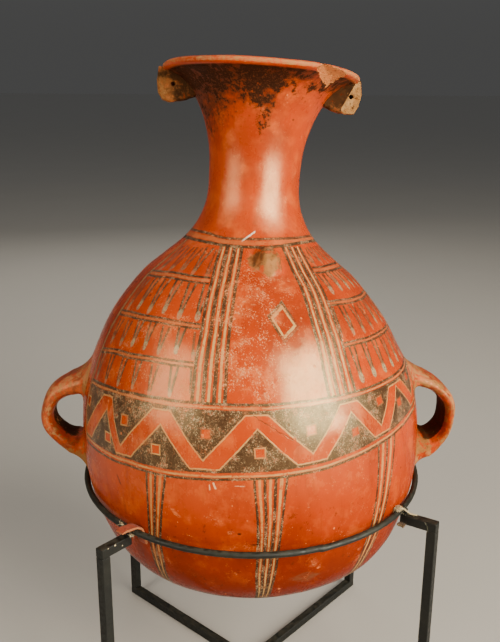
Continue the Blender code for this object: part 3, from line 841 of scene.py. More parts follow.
def lay_wear(look, grit, painted):
    """Bare clay, ochre, dirty patches that also carry painted shade, worn smooth patches that also carry
    painted highlights, and raw breaks, where the mesh's attributes put them.
    """
    def patches(name, patchy, crumble, low, high, torn=not painted):
        worn = attribute(name) + (grit.patchy - 0.5) * patchy + (grit.crumble - 0.5) * crumble
        if torn:
            worn = worn + (grit.patchy - 0.5) * 1.1 + (grit.crumble - 0.5) * 1.3
        return ramp(worn, low, high)

    clay = tint(TAN, EARTH, ramp(grit.patchy, 0.40, 0.62))
    clay = tint(clay, BISCUIT, ramp(grit.crumble, 0.52, 0.70) * 0.7)
    ochre = tint(OCHRE, EARTH, ramp(grit.crumble, 0.50, 0.68) * 0.6)
    rub_and_highlight = tint(RUB_AND_HIGHLIGHT_TONE, BISCUIT, ramp(grit.crumble, 0.42, 0.62))
    raw = tint(tone(150, 108, 64), tone(172, 134, 88), ramp(grit.patchy, 0.42, 0.62))
    if painted:
        raw = tint(raw, tone(222, 134, 76), 0.65)
    raw = tint(raw, tone(70, 40, 22), ramp(grit.crumble, 0.575, 0.68) * 0.9)
    worn_away = patches("bare", 1.3, 0.5, 0.42, 0.66)
    ochred = patches("ochre", 0.7, 0.5, 0.36, 0.62)
    # dirty patches, and painted shade in hollows and on faces turned from the light
    dirt_and_shade = patches("grime_and_shade", 0.5, 0.7, 0.40, 0.72, torn=False)
    # worn smooth patches, and painted highlights
    rub_and_highlight_share = patches("rub_and_highlight", 0.4, 0.8, 0.36, 0.62)
    chipped = ramp(attribute("broken") + (grit.crumble - 0.5) * 0.25, 0.42, 0.58)
    for colour, share in ((clay, worn_away * 0.92), (ochre, ochred * 0.92), (SOOT_AND_SHADE, dirt_and_shade * 0.90),
                          (rub_and_highlight, rub_and_highlight_share * 0.85), (raw, chipped)):
        lay(look, colour, share)
    dry = largest(worn_away * 0.8, chipped, dirt_and_shade, ochred, rub_and_highlight_share * 0.8, attribute("matt"))
    look.rough += dry * 0.45
    look.gloss *= 1.0 - dry * 0.7
    look.relief += (worn_away * 0.25 + chipped * 0.7) * grit.crumble + chipped * grit.grain * 0.25


def ceramic(name, painted, dull=0.0):
    """Burnished red slip over tan clay, worn and dirty, with painted shade towards the base and painted shade
    and highlights where the mesh's attributes put them; painted adds the design, lime, soot and marks.
    """
    made = start_material(name)
    place = attribute("straight", "Vector")
    # random patterns that the layers share, coarse to fine
    grit = SimpleNamespace(
        cloud=noise(place, 9.0, 3.0, 0.55), mottle=noise(place, 46.0, 3.0, 0.6),
        patchy=noise(place, 80.0, 4.0, 0.65), worn=noise(place, 95.0, 4.0, 0.7),
        crumble=noise(place, 260.0, 4.0, 0.7), grain=noise(place, 420.0, 3.0, 0.65),
        fleck=noise(place, 560.0, 3.0, 0.7), speck=noise(place, 900.0, 2.0, 0.6),
    )
    look = burnished(place, grit, dull)
    if painted:
        at, umber, cream, grey = jar_design(place)
        umber = lay_design(look, grit, at, umber, cream, grey)
        lay_lime(look, grit, at, place, umber)
        x, y, z = parts(place)
        even_neck = joined(x / at.r * NECK_ROUND, y / at.r * NECK_ROUND, z)
        grit.blotch = noise(even_neck, 75.0, 5.0, 0.68)
        grit.dab = noise(even_neck, 260.0, 3.0, 0.65)
        lay_soot(look, grit, at)
        lay_marks(look, grit, at, place)
        lay_bits(look, place)
    else:
        soiled = noise(place, 34.0, 4.0, 0.65) * 0.5 + noise(place, 170.0, 3.0, 0.7) * 0.5
        lay(look, tone(112, 46, 24), ramp(soiled, 0.46, 0.57) * 0.70)
        look.relief += soiled * 0.12
    lay_wear(look, grit, painted)
    return finish_material(made, {
        "Base Color": look.colour, "Roughness": smallest(look.rough, 0.95), "IOR": 1.50,
        "Specular Tint": (1.0, 0.77, 0.38), "Specular IOR Level": look.gloss,
    }, look.relief)


def inside_clay(name):
    """Unslipped, smoked clay inside the jar, with wiping marks round it."""
    made = start_material(name)
    place = attribute("straight", "Vector")
    wiped = noise(stretched(place, 1.0, 1.0, 9.0), 26.0, 4.0, 0.6)
    grit = noise(place, 520.0, 3.0, 0.7)
    soot = noise(place, 30.0, 4.0, 0.6)
    colour = tint(tone(168, 92, 56), tone(112, 58, 36), ramp(wiped, 0.40, 0.65))
    colour = tint(colour, SLIP, ramp(parts(place)[2], 0.560, 0.590) * 0.85)
    colour = tint(colour, SOOT_AND_SHADE, ramp(soot, 0.52, 0.66) * 0.6)
    colour = tint(colour, BISCUIT, ramp(grit, 0.62, 0.72) * 0.5)
    roughness = ramp(wiped, 0.3, 0.7, 0.55, 0.82)
    return finish_material(made, {"Base Color": colour, "Roughness": roughness}, wiped * 0.35 + grit * 0.08)


# ---------------------------------------------------------------- jar

FINE_FROM = -6.0                # columns are closer from here to FINE_TO, for the nubbin and the rim's chip
FINE_TO = 60.0
NUBBIN_U = 11.5
NUBBIN_HEIGHT = 0.4110
NUBBIN_STANDS = 0.0118
# hollows in the nubbin: depth, middle and width across it, middle and width along it
NUBBIN_HOLLOWS = ((0.0046, -0.0115, 0.0045, 0.003, 0.0085), (0.0018, 0.0015, 0.0036, -0.001, 0.0080))
CHIP_U = 45.2
CHIP_HEIGHT = 0.5897
LIP_FROM = 0.5925               # where the wall turns into the lip
LIP_STEPS = 22
# where the handles join: u, height
ROOTS = ((93.5, 0.2620), (93.5, 0.1810), (-86.5, 0.2790), (-86.5, 0.2060))


def jar_columns():
    coarse_right = np.linspace(FINE_TO, 180.0, 61)[:-1]
    coarse_left = np.linspace(-180.0, FINE_FROM, 88)[:-1]
    return np.concatenate((coarse_left, np.arange(FINE_FROM, FINE_TO, 0.5), coarse_right))


def jar_rows():
    """(radius, height) up the outside, over the lip and down the inside, and how many rows are outside."""
    side = smooth_path(OUTER_PROFILE, 1200)
    near_nubbin = np.abs(side[:, 0] - 0.412) < 0.028
    spacing = np.where(side[:, 0] > 0.577, 0.0010, np.where(near_nubbin, 0.0012, 0.0045))
    count = np.concatenate(([0.0], np.cumsum(np.diff(run_along(side)) / spacing[1:])))
    picks = np.linspace(0.0, count[-1], int(round(count[-1])) + 1)
    outer = np.stack([np.interp(picks, count, side[:, 1]), np.interp(picks, count, side[:, 0])], axis=1)[1:]
    lip = smooth_path([(r, h) for h, r in LIP_PROFILE], LIP_STEPS)
    heights = np.concatenate((np.linspace(LIP_FROM, 0.44, 40), np.linspace(0.435, BASE_FLOOR + 0.004, 44)))
    radius, slope = smooth_value(OUTER_PROFILE, np.minimum(heights, OUTER_PROFILE[-1][0]))
    wall = BODY_WALL + (NECK_WALL - BODY_WALL) * ease(heights, 0.40, 0.46)
    inner = np.stack([radius - wall * np.hypot(1.0, np.minimum(slope, 1.9)), heights], axis=1)
    inner[:, 0] = np.maximum(inner[:, 0], 0.004)
    inner[:6, 0] += (np.linspace(1.0, 0.0, 6) ** 2) * 0.004
    return np.concatenate((outer, lip, inner)), len(outer), len(outer) + len(lip)


def ridge_line(across, along):
    """How far to the right of the nubbin's slanting ridge a place is."""
    return across - 0.0100 + 0.17 * (along + 0.004)


def nubbin_height(across, along):
    """How far the worn nubbin stands out; across is to the right and along is up the slope, in metres."""
    half_wide = 0.0178 - 0.0040 * ease(along, -0.004, 0.018)
    distance = np.hypot(across / half_wide, (along - 0.0015) / 0.0200)
    knob = NUBBIN_STANDS * (1 - ease(distance, 0.22, 1.12))
    knob += 0.0024 * bell(ridge_line(across, along), 0.0, 0.0026) * bell(along, 0.0, 0.0150)
    for depth, at_across, wide, at_along, tall in NUBBIN_HOLLOWS:
        knob -= depth * bell(across, at_across, wide) * bell(along, at_along, tall)
    return knob


def worn_rim(at, radius, height, even):
    """Radii and heights with the rim wavy, nicked and chipped at the right, and how broken each place is."""
    at_rim = ease(at.row_height, 0.588, LIP_FROM) * (at.past_lip < 5)
    wave = lumps(even * (1, 1, 0), 0.09, 31).reshape(radius.shape)
    nicks = rough(even, 0.010, 33).reshape(radius.shape)
    radius = radius - at_rim * (0.0004 + 0.0003 * wave + 0.0009 * np.clip(nicks - 0.75, 0, 1))
    height = height - at_rim * (0.0003 + 0.00025 * wave + 0.0009 * np.clip(nicks - 0.85, 0, 1))
    chip_noise = rough(even, 0.0075, 41, 4).reshape(radius.shape)
    sideways = np.abs(at.u - CHIP_U + (height - CHIP_HEIGHT) * 1050.0 + 1.6 * chip_noise)
    opening = ease(height, 0.5815, 0.5885) * 4.4 + 2.4 - ease(height, LIP_FROM, 0.5962) * 5.0
    spare = np.clip((sideways - opening) / 2.6, 0.0, None) ** 1.3 * 0.0050
    cut = 0.0826 + (height - 0.5850) * 1.02 + spare + 0.0009 * chip_noise
    deep = np.where((at.past_lip < -4) & (height > 0.580), radius - cut, -1.0)
    return np.where(deep > 0, cut, radius), height, ease(deep, 0.0002, 0.0009)


def jar_wear(at, radius, height, broken):
    """Where the slip is gone, dirty or worn smooth, and where shade and highlights are painted, from 0 to 1.
    """
    def spot(a, b, wide, tall):
        return bell(at.across, a, wide) * bell(at.along, b, tall) * at.is_outer

    top_edge = ease(at.row_height, 0.5968, 0.5978) * (at.past_lip < 0)
    on_lip = ease(at.row_height, 0.5915, 0.5930) * (at.past_lip < 0) * (1 - top_edge)
    inside_rim = np.where(at.is_outer, 0.0, ease(at.row_height, 0.5905, LIP_FROM) * 0.40)
    ridge = bell(ridge_line(at.across, at.along), 0.0, 0.0021) * ease(at.along, -0.024, -0.016)
    ridge = ridge * ease(0.020 - at.along, 0.0, 0.004) * at.is_outer
    # the nubbin has a brown hollow at its left, darkened with painted shade, a worn ochre face, and a pale
    # ridge down its right and a pale top, worn slip lightened as a painted highlight
    ochre = 0.95 * spot(0.0008, -0.0085, 0.0082, 0.0125)
    rub_and_highlight = np.maximum.reduce((on_lip * (0.50 + 0.10 * ease(at.u, -40.0, 10.0)), 0.40 * ridge,
                                0.66 * spot(0.0030, 0.0165, 0.0062, 0.0075),
                                0.42 * spot(0.0035, -0.0230, 0.0065, 0.0030)))
    matt = np.maximum(ease(at.knob, 0.0008, 0.0030), 0.9 * spot(0.0100, -0.0100, 0.0140, 0.0160))
    # painted shade on the nubbin's left flank
    grime_and_shade = 0.56 * spot(-0.0138, -0.0015, 0.0056, 0.0125)
    bare = np.maximum.reduce((inside_rim * (1 - top_edge), 0.52 * ease(at.knob, 0.0020, 0.0080),
                              0.90 * spot(-0.0128, -0.0005, 0.0095, 0.0160),
                              0.46 * spot(0.0100, -0.0060, 0.0070, 0.0210)))
    for root_u, root_height in ROOTS:
        aside = np.radians((at.u - root_u + 180.0) % 360.0 - 180.0) * radius
        from_root = np.hypot(aside, height - root_height)
        dirty = (1 - ease(from_root, 0.030, 0.060)) * at.is_outer
        bare = np.maximum(bare, 0.46 * dirty)
        ochre = np.maximum(ochre, 0.42 * dirty)
        grime_and_shade = np.maximum(grime_and_shade, 0.36 * (1 - ease(from_root, 0.030, 0.052)) * at.is_outer)
    # painted shade in a band under the lip's overhang
    grime_and_shade = grime_and_shade + ease(at.row_height, 0.5865, 0.5895) * 0.50 * at.is_outer
    grime_and_shade = grime_and_shade * (1 - ease(broken, 0.2, 0.6))
    return {"bare": bare, "broken": broken, "grime_and_shade": grime_and_shade, "ochre": ochre, "rub_and_highlight": rub_and_highlight, "matt": matt,
            "outside": at.is_outer * np.ones_like(at.u)}


def build_jar(looks):
    columns = jar_columns()
    rows, outer_count, to_lip_end = jar_rows()
    u, radius = np.meshgrid(columns, rows[:, 0])
    number = np.arange(len(rows))[:, None]
    at = SimpleNamespace(u=u, row_height=np.broadcast_to(rows[:, 1:], u.shape))
    at.is_outer = number < outer_count
    at.past_lip = number - to_lip_end
    tangent = unit(np.gradient(rows, axis=0))
    even = around(u, radius, at.row_height).reshape(-1, 3)
    off = unevenness(even).reshape(u.shape)
    off[outer_count:] *= 0.5
    run = run_along(rows)
    centre = np.interp(NUBBIN_HEIGHT, rows[:outer_count, 1], run[:outer_count])
    at.across = np.radians(u - NUBBIN_U) * radius
    at.along = (run - centre)[:, None] * np.ones_like(u)
    at.knob = np.where(at.is_outer, nubbin_height(at.across, at.along), 0.0)
    at.knob += 0.0005 * rough(even, 0.011, 21).reshape(u.shape) * ease(at.knob, 0.001, 0.005)
    radius = radius + tangent[:, 1:] * (off + at.knob)
    height = at.row_height - tangent[:, :1] * (off + at.knob)
    radius, height, broken = worn_rim(at, radius, height, even)
    worn = jar_wear(at, radius, height, broken)

    count = len(columns)
    last = (len(rows) - 1) * count
    ends = np.array([[0.0, 0.0, 0.0], [0.0, 0.0, BASE_FLOOR + 0.0025]])
    points = np.concatenate((around(u, radius, height).reshape(-1, 3), ends))
    tip, floor = len(points) - 2, len(points) - 1
    faces = grid_faces(len(rows), count) + fan(0, count, tip, flipped=True) + fan(last, count, floor)
    values = {key: np.append(value.ravel(), (0.0, 0.0)) for key, value in worn.items()}
    jar = mesh_object("jar_body", looks, points, faces, **values)
    inside_from = (to_lip_end + 2) * count
    for polygon in jar.data.polygons:
        if min(polygon.vertices) >= inside_from:
            polygon.material_index = 1
    return jar


# ---------------------------------------------------------------- handles

HANDLE_SIDES = 44
HANDLE_FILL = 0.0013            # the strap's inner face stands this much further in, by twice
FOOT_CLEAR = 0.0135             # the strap is even where it is further than this from the wall
FOOT_HALF = 0.0410
FOOT_SPREAD = 0.0215            # how far a handle's foot spreads along the wall towards the hole
FOOT_TAILS = {1.0: 0.0300, -1.0: 0.0400}    # and away from it, at the upper and the lower end
SKIRT_ROWS = 16
WORN_ALL_OVER = 0.30            # the least wear anywhere on a handle


def superellipse(sides, power):
    angle = 2 * math.pi * (np.arange(sides) + 0.5) / sides
    x, y = np.cos(angle), np.sin(angle)
    return np.sign(x) * np.abs(x) ** (2 / power), np.sign(y) * np.abs(y) ** (2 / power)


def build_handle(name, controls, azimuth, look, wear):
    """A strap with feet that flare into the jar's wall.

    wear gives named values from height, radius, and -1 to 1 from inner to outer and from back to front.
    """
    path = smooth_path(controls, 96)
    middle_u = azimuth - 270.0
    wall = wall_radius(path[:, 1])
    clear = np.nonzero(path[:, 0] - wall > FOOT_CLEAR)[0]
    beyond = np.nonzero(path[:, 0] > wall)[0]
    over, beside = superellipse(HANDLE_SIDES, 2.5)
    radial = around(middle_u, 1.0, 0.0)
    sideways = around(middle_u + 90.0, 1.0, 0.0)

    def ring(i):
        direction = unit(path[min(i + 1, len(path) - 1), :2] - path[max(i - 1, 0), :2])
        across = -direction[1] * radial + direction[0] * UP
        r, h, thick, width = path[i]
        centre = r * radial + h * UP - across * HANDLE_FILL
        thick = thick * 0.94 + HANDLE_FILL
        points = centre + np.outer(over * thick, across) + np.outer(beside * width * 0.98, sideways)
        return points, direction[0] * radial + direction[1] * UP

    def skirt(i, crossing, way):
        """Rows from ring i to its foot on the wall."""
        start, direction = ring(i)
        middle_height = path[crossing, 1]
        foot_height = middle_height + way * over * np.where(over > 0, FOOT_TAILS[way], FOOT_SPREAD)
        foot_u = middle_u + np.degrees(beside * FOOT_HALF / wall_radius(middle_height))
        foot = surface(foot_u, foot_height)
        up_edge = surface(foot_u, foot_height + 0.0005) - surface(foot_u, foot_height - 0.0005)
        side_edge = surface(foot_u + 0.2, foot_height) - surface(foot_u - 0.2, foot_height)
        normal = unit(np.cross(side_edge, up_edge))
        outward = foot - surface(np.array([middle_u]), np.array([middle_height]))[0]
        outward = unit(outward - (outward * normal).sum(axis=1)[:, None] * normal)
        reach = np.linalg.norm(foot - start, axis=1)[:, None]
        one = start - way * direction * reach * 0.55
        two = foot - outward * reach * np.where(over > 0, 0.15, 0.50)[:, None]
        found = [(1 - t) ** 3 * start + 3 * (1 - t) ** 2 * t * one + 3 * (1 - t) * t**2 * two + t**3 * foot
                 for t in np.linspace(0.0, 1.0, SKIRT_ROWS)[1:]]
        return found + [foot + outward * 0.0012 - normal * 0.0004, foot + outward * 0.0020 - normal * 0.0020]

    rings = skirt(clear[0], beyond[0], 1.0)[::-1]
    rings += [ring(i)[0] for i in range(clear[0], clear[-1] + 1)]
    rings += skirt(clear[-1], beyond[-1], -1.0)
    points = np.concatenate(rings)
    uneven = 0.00035 * lumps(points, 0.035, 51) + 0.00012 * lumps(points, 0.012, 53)
    points = points - outwards_from_middles(rings) * (0.0002 + np.abs(uneven))[:, None]
    front = np.tile(-beside * sideways[1], len(rings))
    worn = wear(points[:, 2], points @ radial, np.tile(over, len(rings)), front)
    made = mesh_object(name, (look,), points, grid_faces(len(rings), HANDLE_SIDES), **worn)
    bm = bmesh.new()
    bm.from_mesh(made.data)
    bmesh.ops.recalc_face_normals(bm, faces=bm.faces)
    bm.to_mesh(made.data)
    bm.free()
    return made


def left_wear(height, reach, over, front):
    everywhere = np.full_like(height, WORN_ALL_OVER)
    outer_spots = bell(height, 0.252, 0.008) * ease(reach, 0.215, 0.224) * ease(over, 0.2, 0.8)
    top_edge = ease(over, -0.1, 0.5) * ease(front, 0.15, 0.70) * ease(height, 0.250, 0.264)
    lower_root = ease(0.2180 - height, 0.0, 0.010) * ease(0.212 - reach, 0.0, 0.012) * ease(front, -0.6, 0.2)
    upper_root = ease(height, 0.262, 0.275) * ease(0.196 - reach, 0.0, 0.010)
    inner = ease(-over, 0.25, 0.75) * ease(reach, 0.186, 0.198) * (1 - ease(front, 0.30, 0.75))
    return {
        "bare": np.maximum.reduce((outer_spots * 0.66, upper_root * 0.46, lower_root * 0.50,
                                   inner * 0.6, everywhere)),
        "ochre": np.maximum.reduce((lower_root * 0.62, upper_root * 0.42, 0.30 * inner, everywhere)),
        "rub_and_highlight": np.maximum.reduce((top_edge * 0.58, outer_spots * 0.60, 0.40 * ease(reach, 0.205, 0.222))),
        # painted shade on the strap's inner face and its side towards the jar
        "grime_and_shade": np.maximum(0.76 * inner, 0.36 * ease(-over, 0.1, 0.6)),
    }


def right_wear(height, reach, over, front):
    everywhere = np.full_like(height, WORN_ALL_OVER)
    upper_root = ease(0.214 - reach, 0.0, 0.018) * ease(height, 0.236, 0.250)
    edge = ease(over, -0.3, 0.3) * ease(front, 0.2, 0.7)
    outer = ease(reach, 0.212, 0.222) * ease(over, 0.0, 0.6)
    lower_root = ease(0.214 - reach, 0.0, 0.018) * ease(0.206 - height, 0.0, 0.012)
    inner = ease(-over, 0.15, 0.65) * ease(reach, 0.187, 0.198) * (1 - ease(front, 0.55, 0.90))
    return {
        "bare": np.maximum.reduce((outer * 0.56, upper_root * 0.50, 0.5 * inner, everywhere)),
        "ochre": np.maximum.reduce((upper_root * 0.56, lower_root * 0.60, edge * 0.50, everywhere)),
        "rub_and_highlight": edge * np.maximum.reduce((upper_root * 0.66, lower_root * 0.66, outer * 0.62)),
        # painted shade on the strap's inner face and its side towards the jar
        "grime_and_shade": np.maximum(inner, 0.36 * ease(-over, 0.0, 0.5)),
    }


# ---------------------------------------------------------------- lugs

LUG_MIDDLE = (0.090, 0.577)     # radius and height
LUG_FLARE = 0.0045              # how much a lug widens towards the wall
LUG_FLARE_FROM = 0.008          # and how far out that starts
LUG_FINENESS = 0.0008
SLIT = (0.1000, 0.5755)         # radius and height of a cleft in the broken face
SLIT_DEPTH = 0.0024
UPRIGHT = Matrix.Rotation(math.radians(90.0), 4, "X")       # stands a drawing on the XY plane up


def turned(azimuth):
    return Matrix.Rotation(math.radians(azimuth), 4, "Z")


def cutter(name, place, make, **sizes):
    """A bmesh solid to cut with."""
    bm = bmesh.new()
    make(bm, **sizes)
    mesh = bpy.data.meshes.new(name)
    bm.to_mesh(mesh)
    bm.free()
    made = linked(name, mesh)
    made.matrix_world = place
    return made


def lug_plate(azimuth, reach):
    """The lug's outline as a plate with rounded edges."""
    drawing = bpy.data.curves.new("lug", "CURVE")
    drawing.dimensions = "2D"
    drawing.fill_mode = "BOTH"
    drawing.extrude = LUG_THICKNESS / 2 - LUG_ROUND
    drawing.bevel_depth = LUG_ROUND
    drawing.bevel_resolution = 3
    drawing.offset = -LUG_ROUND
    line = drawing.splines.new("POLY")
    line.points.add(len(LUG_OUTLINE) - 1)
    for point, (radius, height) in zip(line.points, LUG_OUTLINE):
        point.co = (radius + reach, height, 0.0, 1.0)
    line.use_cyclic_u = True
    plate = linked("lug_plate", drawing)
    plate.matrix_world = turned(azimuth) @ UPRIGHT
    return linked("lug_work", finished_mesh(plate))


def cut_and_softened(made, cutters):
    """The mesh of an object less its cutters, remeshed and smoothed. Everything else is removed."""
    for solid in cutters:
        step = made.modifiers.new("cut", "BOOLEAN")
        step.operation = "DIFFERENCE"
        step.solver = "EXACT"
        step.object = solid
    fine = made.modifiers.new("even", "REMESH")
    fine.mode = "VOXEL"
    fine.voxel_size = LUG_FINENESS
    soft = made.modifiers.new("soften", "SMOOTH")
    soft.factor = 0.5
    soft.iterations = 3
    mesh = finished_mesh(made)
    for solid in cutters:
        bpy.data.objects.remove(solid, do_unlink=True)
    return mesh


def build_lug(side, look):
    azimuth = LUG_AZIMUTHS[side]
    radial, tangent = compass(azimuth)
    made = lug_plate(azimuth, LUG_REACH[side])
    hole_at = Matrix.Translation((LUG_HOLE[0], 0.0, LUG_HOLE[1])) @ turned(HOLE_SKEW) @ UPRIGHT
    cutters = [cutter("hole", turned(azimuth) @ hole_at, bmesh.ops.create_cone, cap_ends=True, segments=24,
                      radius1=LUG_HOLE_RADIUS, radius2=LUG_HOLE_RADIUS, depth=0.05)]
    facing = Vector(BREAK_FACING).normalized()
    corner = Vector(radial * BREAK_POINT[0] - tangent * LUG_THICKNESS / 2 + UP * BREAK_POINT[1])
    if side == "right":
        turn = facing.to_track_quat("X", "Z").to_matrix().to_4x4()
        break_at = Matrix.Translation(corner + facing * BREAK_BOX / 2) @ turn
        cutters.append(cutter("break", break_at, bmesh.ops.create_cube, size=BREAK_BOX))
    mesh = cut_and_softened(made, cutters)
    points = np.zeros(len(mesh.vertices) * 3)
    mesh.vertices.foreach_get("co", points)
    points = points.reshape(-1, 3)
    faces = [tuple(p.vertices) for p in mesh.polygons]
    bpy.data.meshes.remove(mesh)

    facing = np.array(facing)
    to_break = (points - np.array(corner)) @ facing
    broken = ease(to_break, -0.0011, -0.0004) if side == "right" else np.zeros(len(points))
    out, aside = points @ radial, points @ tangent
    gap = np.hypot(points[:, 0], points[:, 1]) - wall_radius(points[:, 2])
    flare = LUG_FLARE * np.clip(1 - gap / LUG_FLARE_FROM, 0.0, 1.0) ** 2 * (1 - broken)
    points = points + tangent * (np.sign(aside) * flare * ease(np.abs(aside), 0.0, 0.004))[:, None]
    inmost = np.interp(points[:, 2], *LUG_INMOST)
    points[:, :2] *= np.maximum(inmost / np.hypot(points[:, 0], points[:, 1]), 1.0)[:, None]
    outwards = unit(points - (radial * LUG_MIDDLE[0] + UP * LUG_MIDDLE[1]))
    uneven = 0.0005 * lumps(points, 0.022, 61) + 0.00035 * rough(points, 0.008, 63)
    points = points + outwards * (np.minimum(uneven, 0.0002) - 0.0003)[:, None]
    if side == "right":
        points -= facing * (broken * (0.0005 + 0.0006 * rough(points, 0.007, 67, 4)))[:, None]
        slit = bell(out, SLIT[0], 0.0024) * bell(points[:, 2], SLIT[1], 0.0012) * broken
        points -= facing * (SLIT_DEPTH * slit)[:, None]
        bare = np.full(len(points), 0.80)
        ochre = np.zeros(len(points))
        # soot over the lug's front face, with painted shade from the lip above, and painted shade in the
        # cleft
        grime_and_shade = 0.80 - 0.2 * ease(0.575 - points[:, 2], 0.0, 0.012)
        grime_and_shade = np.where(broken > 0.4, 0.0, grime_and_shade) + 0.9 * slit
    else:
        bare = np.full(len(points), 0.95)
        ochre = 0.20 + 0.25 * ease(out, 0.090, 0.102)
        # dirty clay, darkened with painted shade under the lip and where the lug meets the neck
        grime_and_shade = 0.36 + 0.30 * bell(points[:, 2], 0.588, 0.006) + 0.35 * ease(0.096 - out, 0.0, 0.014)
    worn = {"bare": bare, "broken": broken, "grime_and_shade": grime_and_shade, "ochre": ochre}
    return mesh_object("lug_" + side, (look,), points, faces, **worn)


# ---------------------------------------------------------------- stand

WELD_AZIMUTH = 290.5
WELD_BEAD = 0.00050
WELD_STEP = 0.0006              # how far out of line the rod's ends met
RING_STEPS, RING_SIDES = 420, 20
RING_THICKER = 1.09
RING_SHRINK = 0.00035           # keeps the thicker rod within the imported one's outside
FLECK_LIFT = 0.00025
# azimuth, to one side, radius and height of the middle, length, width and slope
FLECKS = (
    (229.4, 0.0050, 0.1990, 0.2668, 0.0013, 0.0012, 0.0),
    (229.4, 0.0050, 0.2080, 0.2712, 0.0017, 0.0016, 0.6),
    (229.4, 0.0050, 0.2165, 0.2716, 0.0010, 0.0010, 0.0),
)
SCRAPES = (
    (328.2, -0.0050, 0.2128, 0.2703, 0.0040, 0.0009, 2.2),
    (328.2, -0.0050, 0.2152, 0.2655, 0.0072, 0.0010, 1.75),
)


def iron(name, deep, colour, pale):
    """Dull black paint over hot-rolled bar: brushed coats, lighter worn patches, dust, a little rust."""
    made = start_material(name)
    place = Field(node("ShaderNodeTexCoord").outputs["Object"])
    upward = parts(Field(node("ShaderNodeNewGeometry").outputs["Normal"]))[2]
    cloud = noise(place, 24.0, 3.0, 0.6)
    brushed = noise(place, 190.0, 4.0, 0.65)
    pits = noise(place, 620.0, 3.0, 0.7)
    dust = ramp(upward, 0.6, 0.95) * ramp(brushed, 0.36, 0.62)
    colour = tint(deep, colour, ramp(cloud, 0.42, 0.66) * 0.7)
    colour = tint(colour, pale, ramp(brushed * 0.6 + pits * 0.4, 0.58, 0.70) * 0.35)
    colour = tint(colour, tone(74, 40, 22), ramp(cloud * 0.4 + pits * 0.6, 0.60, 0.68) * 0.4)
    return finish_material(made, {
        "Base Color": tint(colour, tone(96, 88, 70), dust * 0.20),
        "Roughness": ramp(brushed, 0.35, 0.68, 0.46, 0.70) + dust * 0.15,
        "Metallic": 0.10, "Specular IOR Level": 0.30,
    }, brushed * 0.16 + pits * 0.07 + cloud * 0.15)


def ring_line(azimuth):
    """The ring's centre line: its radius at an azimuth."""
    angle = np.radians(azimuth)
    return 1.0 / np.hypot(np.cos(angle) / RING_SIDE, np.sin(angle) / RING_FRONT)


def build_ring(look):
    """The ring as a bent rod, closed by a ground-down butt weld at the front right."""
    azimuth = np.linspace(0.0, 360.0, RING_STEPS, endpoint=False)
    angle = np.radians(azimuth)
    step = WELD_STEP * np.tanh((azimuth - WELD_AZIMUTH) / 0.4) * bell(azimuth, WELD_AZIMUTH, 4.0)
    rod = RING_ROD * RING_THICKER + WELD_BEAD * bell(azimuth, WELD_AZIMUTH, 0.75)
    turn = 2 * math.pi * np.arange(RING_SIDES) / RING_SIDES
    out = np.outer(rod, np.cos(turn)) + (ring_line(azimuth) - RING_SHRINK + step)[:, None]
    up = np.outer(rod, np.sin(turn)) + RING_HEIGHT
    level = np.stack([np.cos(angle), np.sin(angle), 0 * angle], axis=1)
    points = (out[:, :, None] * level[:, None] + up[:, :, None] * UP).reshape(-1, 3)
    points += 0.00006 * np.stack([lumps(points, 0.012, seed) for seed in (71, 72, 73)], axis=1)
    around_again = np.array(grid_faces(RING_STEPS + 1, RING_SIDES)) % len(points)
    return mesh_object("ring_rod", (look,), points, around_again[:, ::-1], leaned=False)


def build_fleck(name, azimuth, aside, radius, height, length, wide, slope, look):
    """A fleck of paint or a scrape on the side of an arm, lying along it at a slope."""
    radial, tangent = compass(azimuth)
    along = radial * math.cos(slope) + UP * math.sin(slope)
    over = UP * math.cos(slope) - radial * math.sin(slope)
    rows, sides = 6, 20
    turn = math.tau * np.arange(sides) / sides
    wobble = 1 + 0.14 * np.sin(3 * turn + radius * 900.0) + 0.08 * np.sin(5 * turn)
    outline = np.outer(np.cos(turn) * wobble, along * length / 2)
    outline += np.outer(np.sin(turn) * wobble, over * wide / 2)
    centre = radial * radius + tangent * aside + UP * height
    quarter = np.linspace(0.1, 1.0, rows) * math.pi / 2
    lift = np.cos(quarter) * FLECK_LIFT * np.sign(aside)
    points = np.concatenate([centre + outline * k + tangent * up for k, up in zip(np.sin(quarter), lift)])
    last = (rows - 1) * sides
    faces = grid_faces(rows, sides) + [tuple(range(sides)), tuple(reversed(range(last, last + sides)))]
    return mesh_object(name, (look,), points, faces, leaned=False)


# ---------------------------------------------------------------- felt and wool

PAD_THICK = 0.0032
JAR_CLEAR = 0.0006
STRIP_STEPS = 54
STRIP_HAIRS, YARN_HAIRS = 150, 160
STRIP_HAIR, YARN_HAIR, WOOL_FIBRE = 0.0016, 0.0015, 0.0025      # lengths
HAIR_THICK, WOOL_THICK = 0.00007, 0.00013
YARN_SIDES = 9
YARN_TURNS = 9.0
PLY_APART, PLY_ROUND = 0.00036, 0.00048
FIBRE_STEPS, FIBRE_SIDES = 5, 3
# along a strip: out from the ring's centre line, up from it
OVER_ROD = ((0.0, 0.0053), (-0.0042, 0.0031), (-0.0053, 0.0))
PAD_TUCK = ((0.0060, 0.0045), *OVER_ROD, (-0.0061, -0.0065), (-0.0083, -0.0140))
FRONT_RIGHT_TUCK = ((0.0024, 0.0048), *OVER_ROD, (-0.0060, -0.0060), (-0.0076, -0.0120))
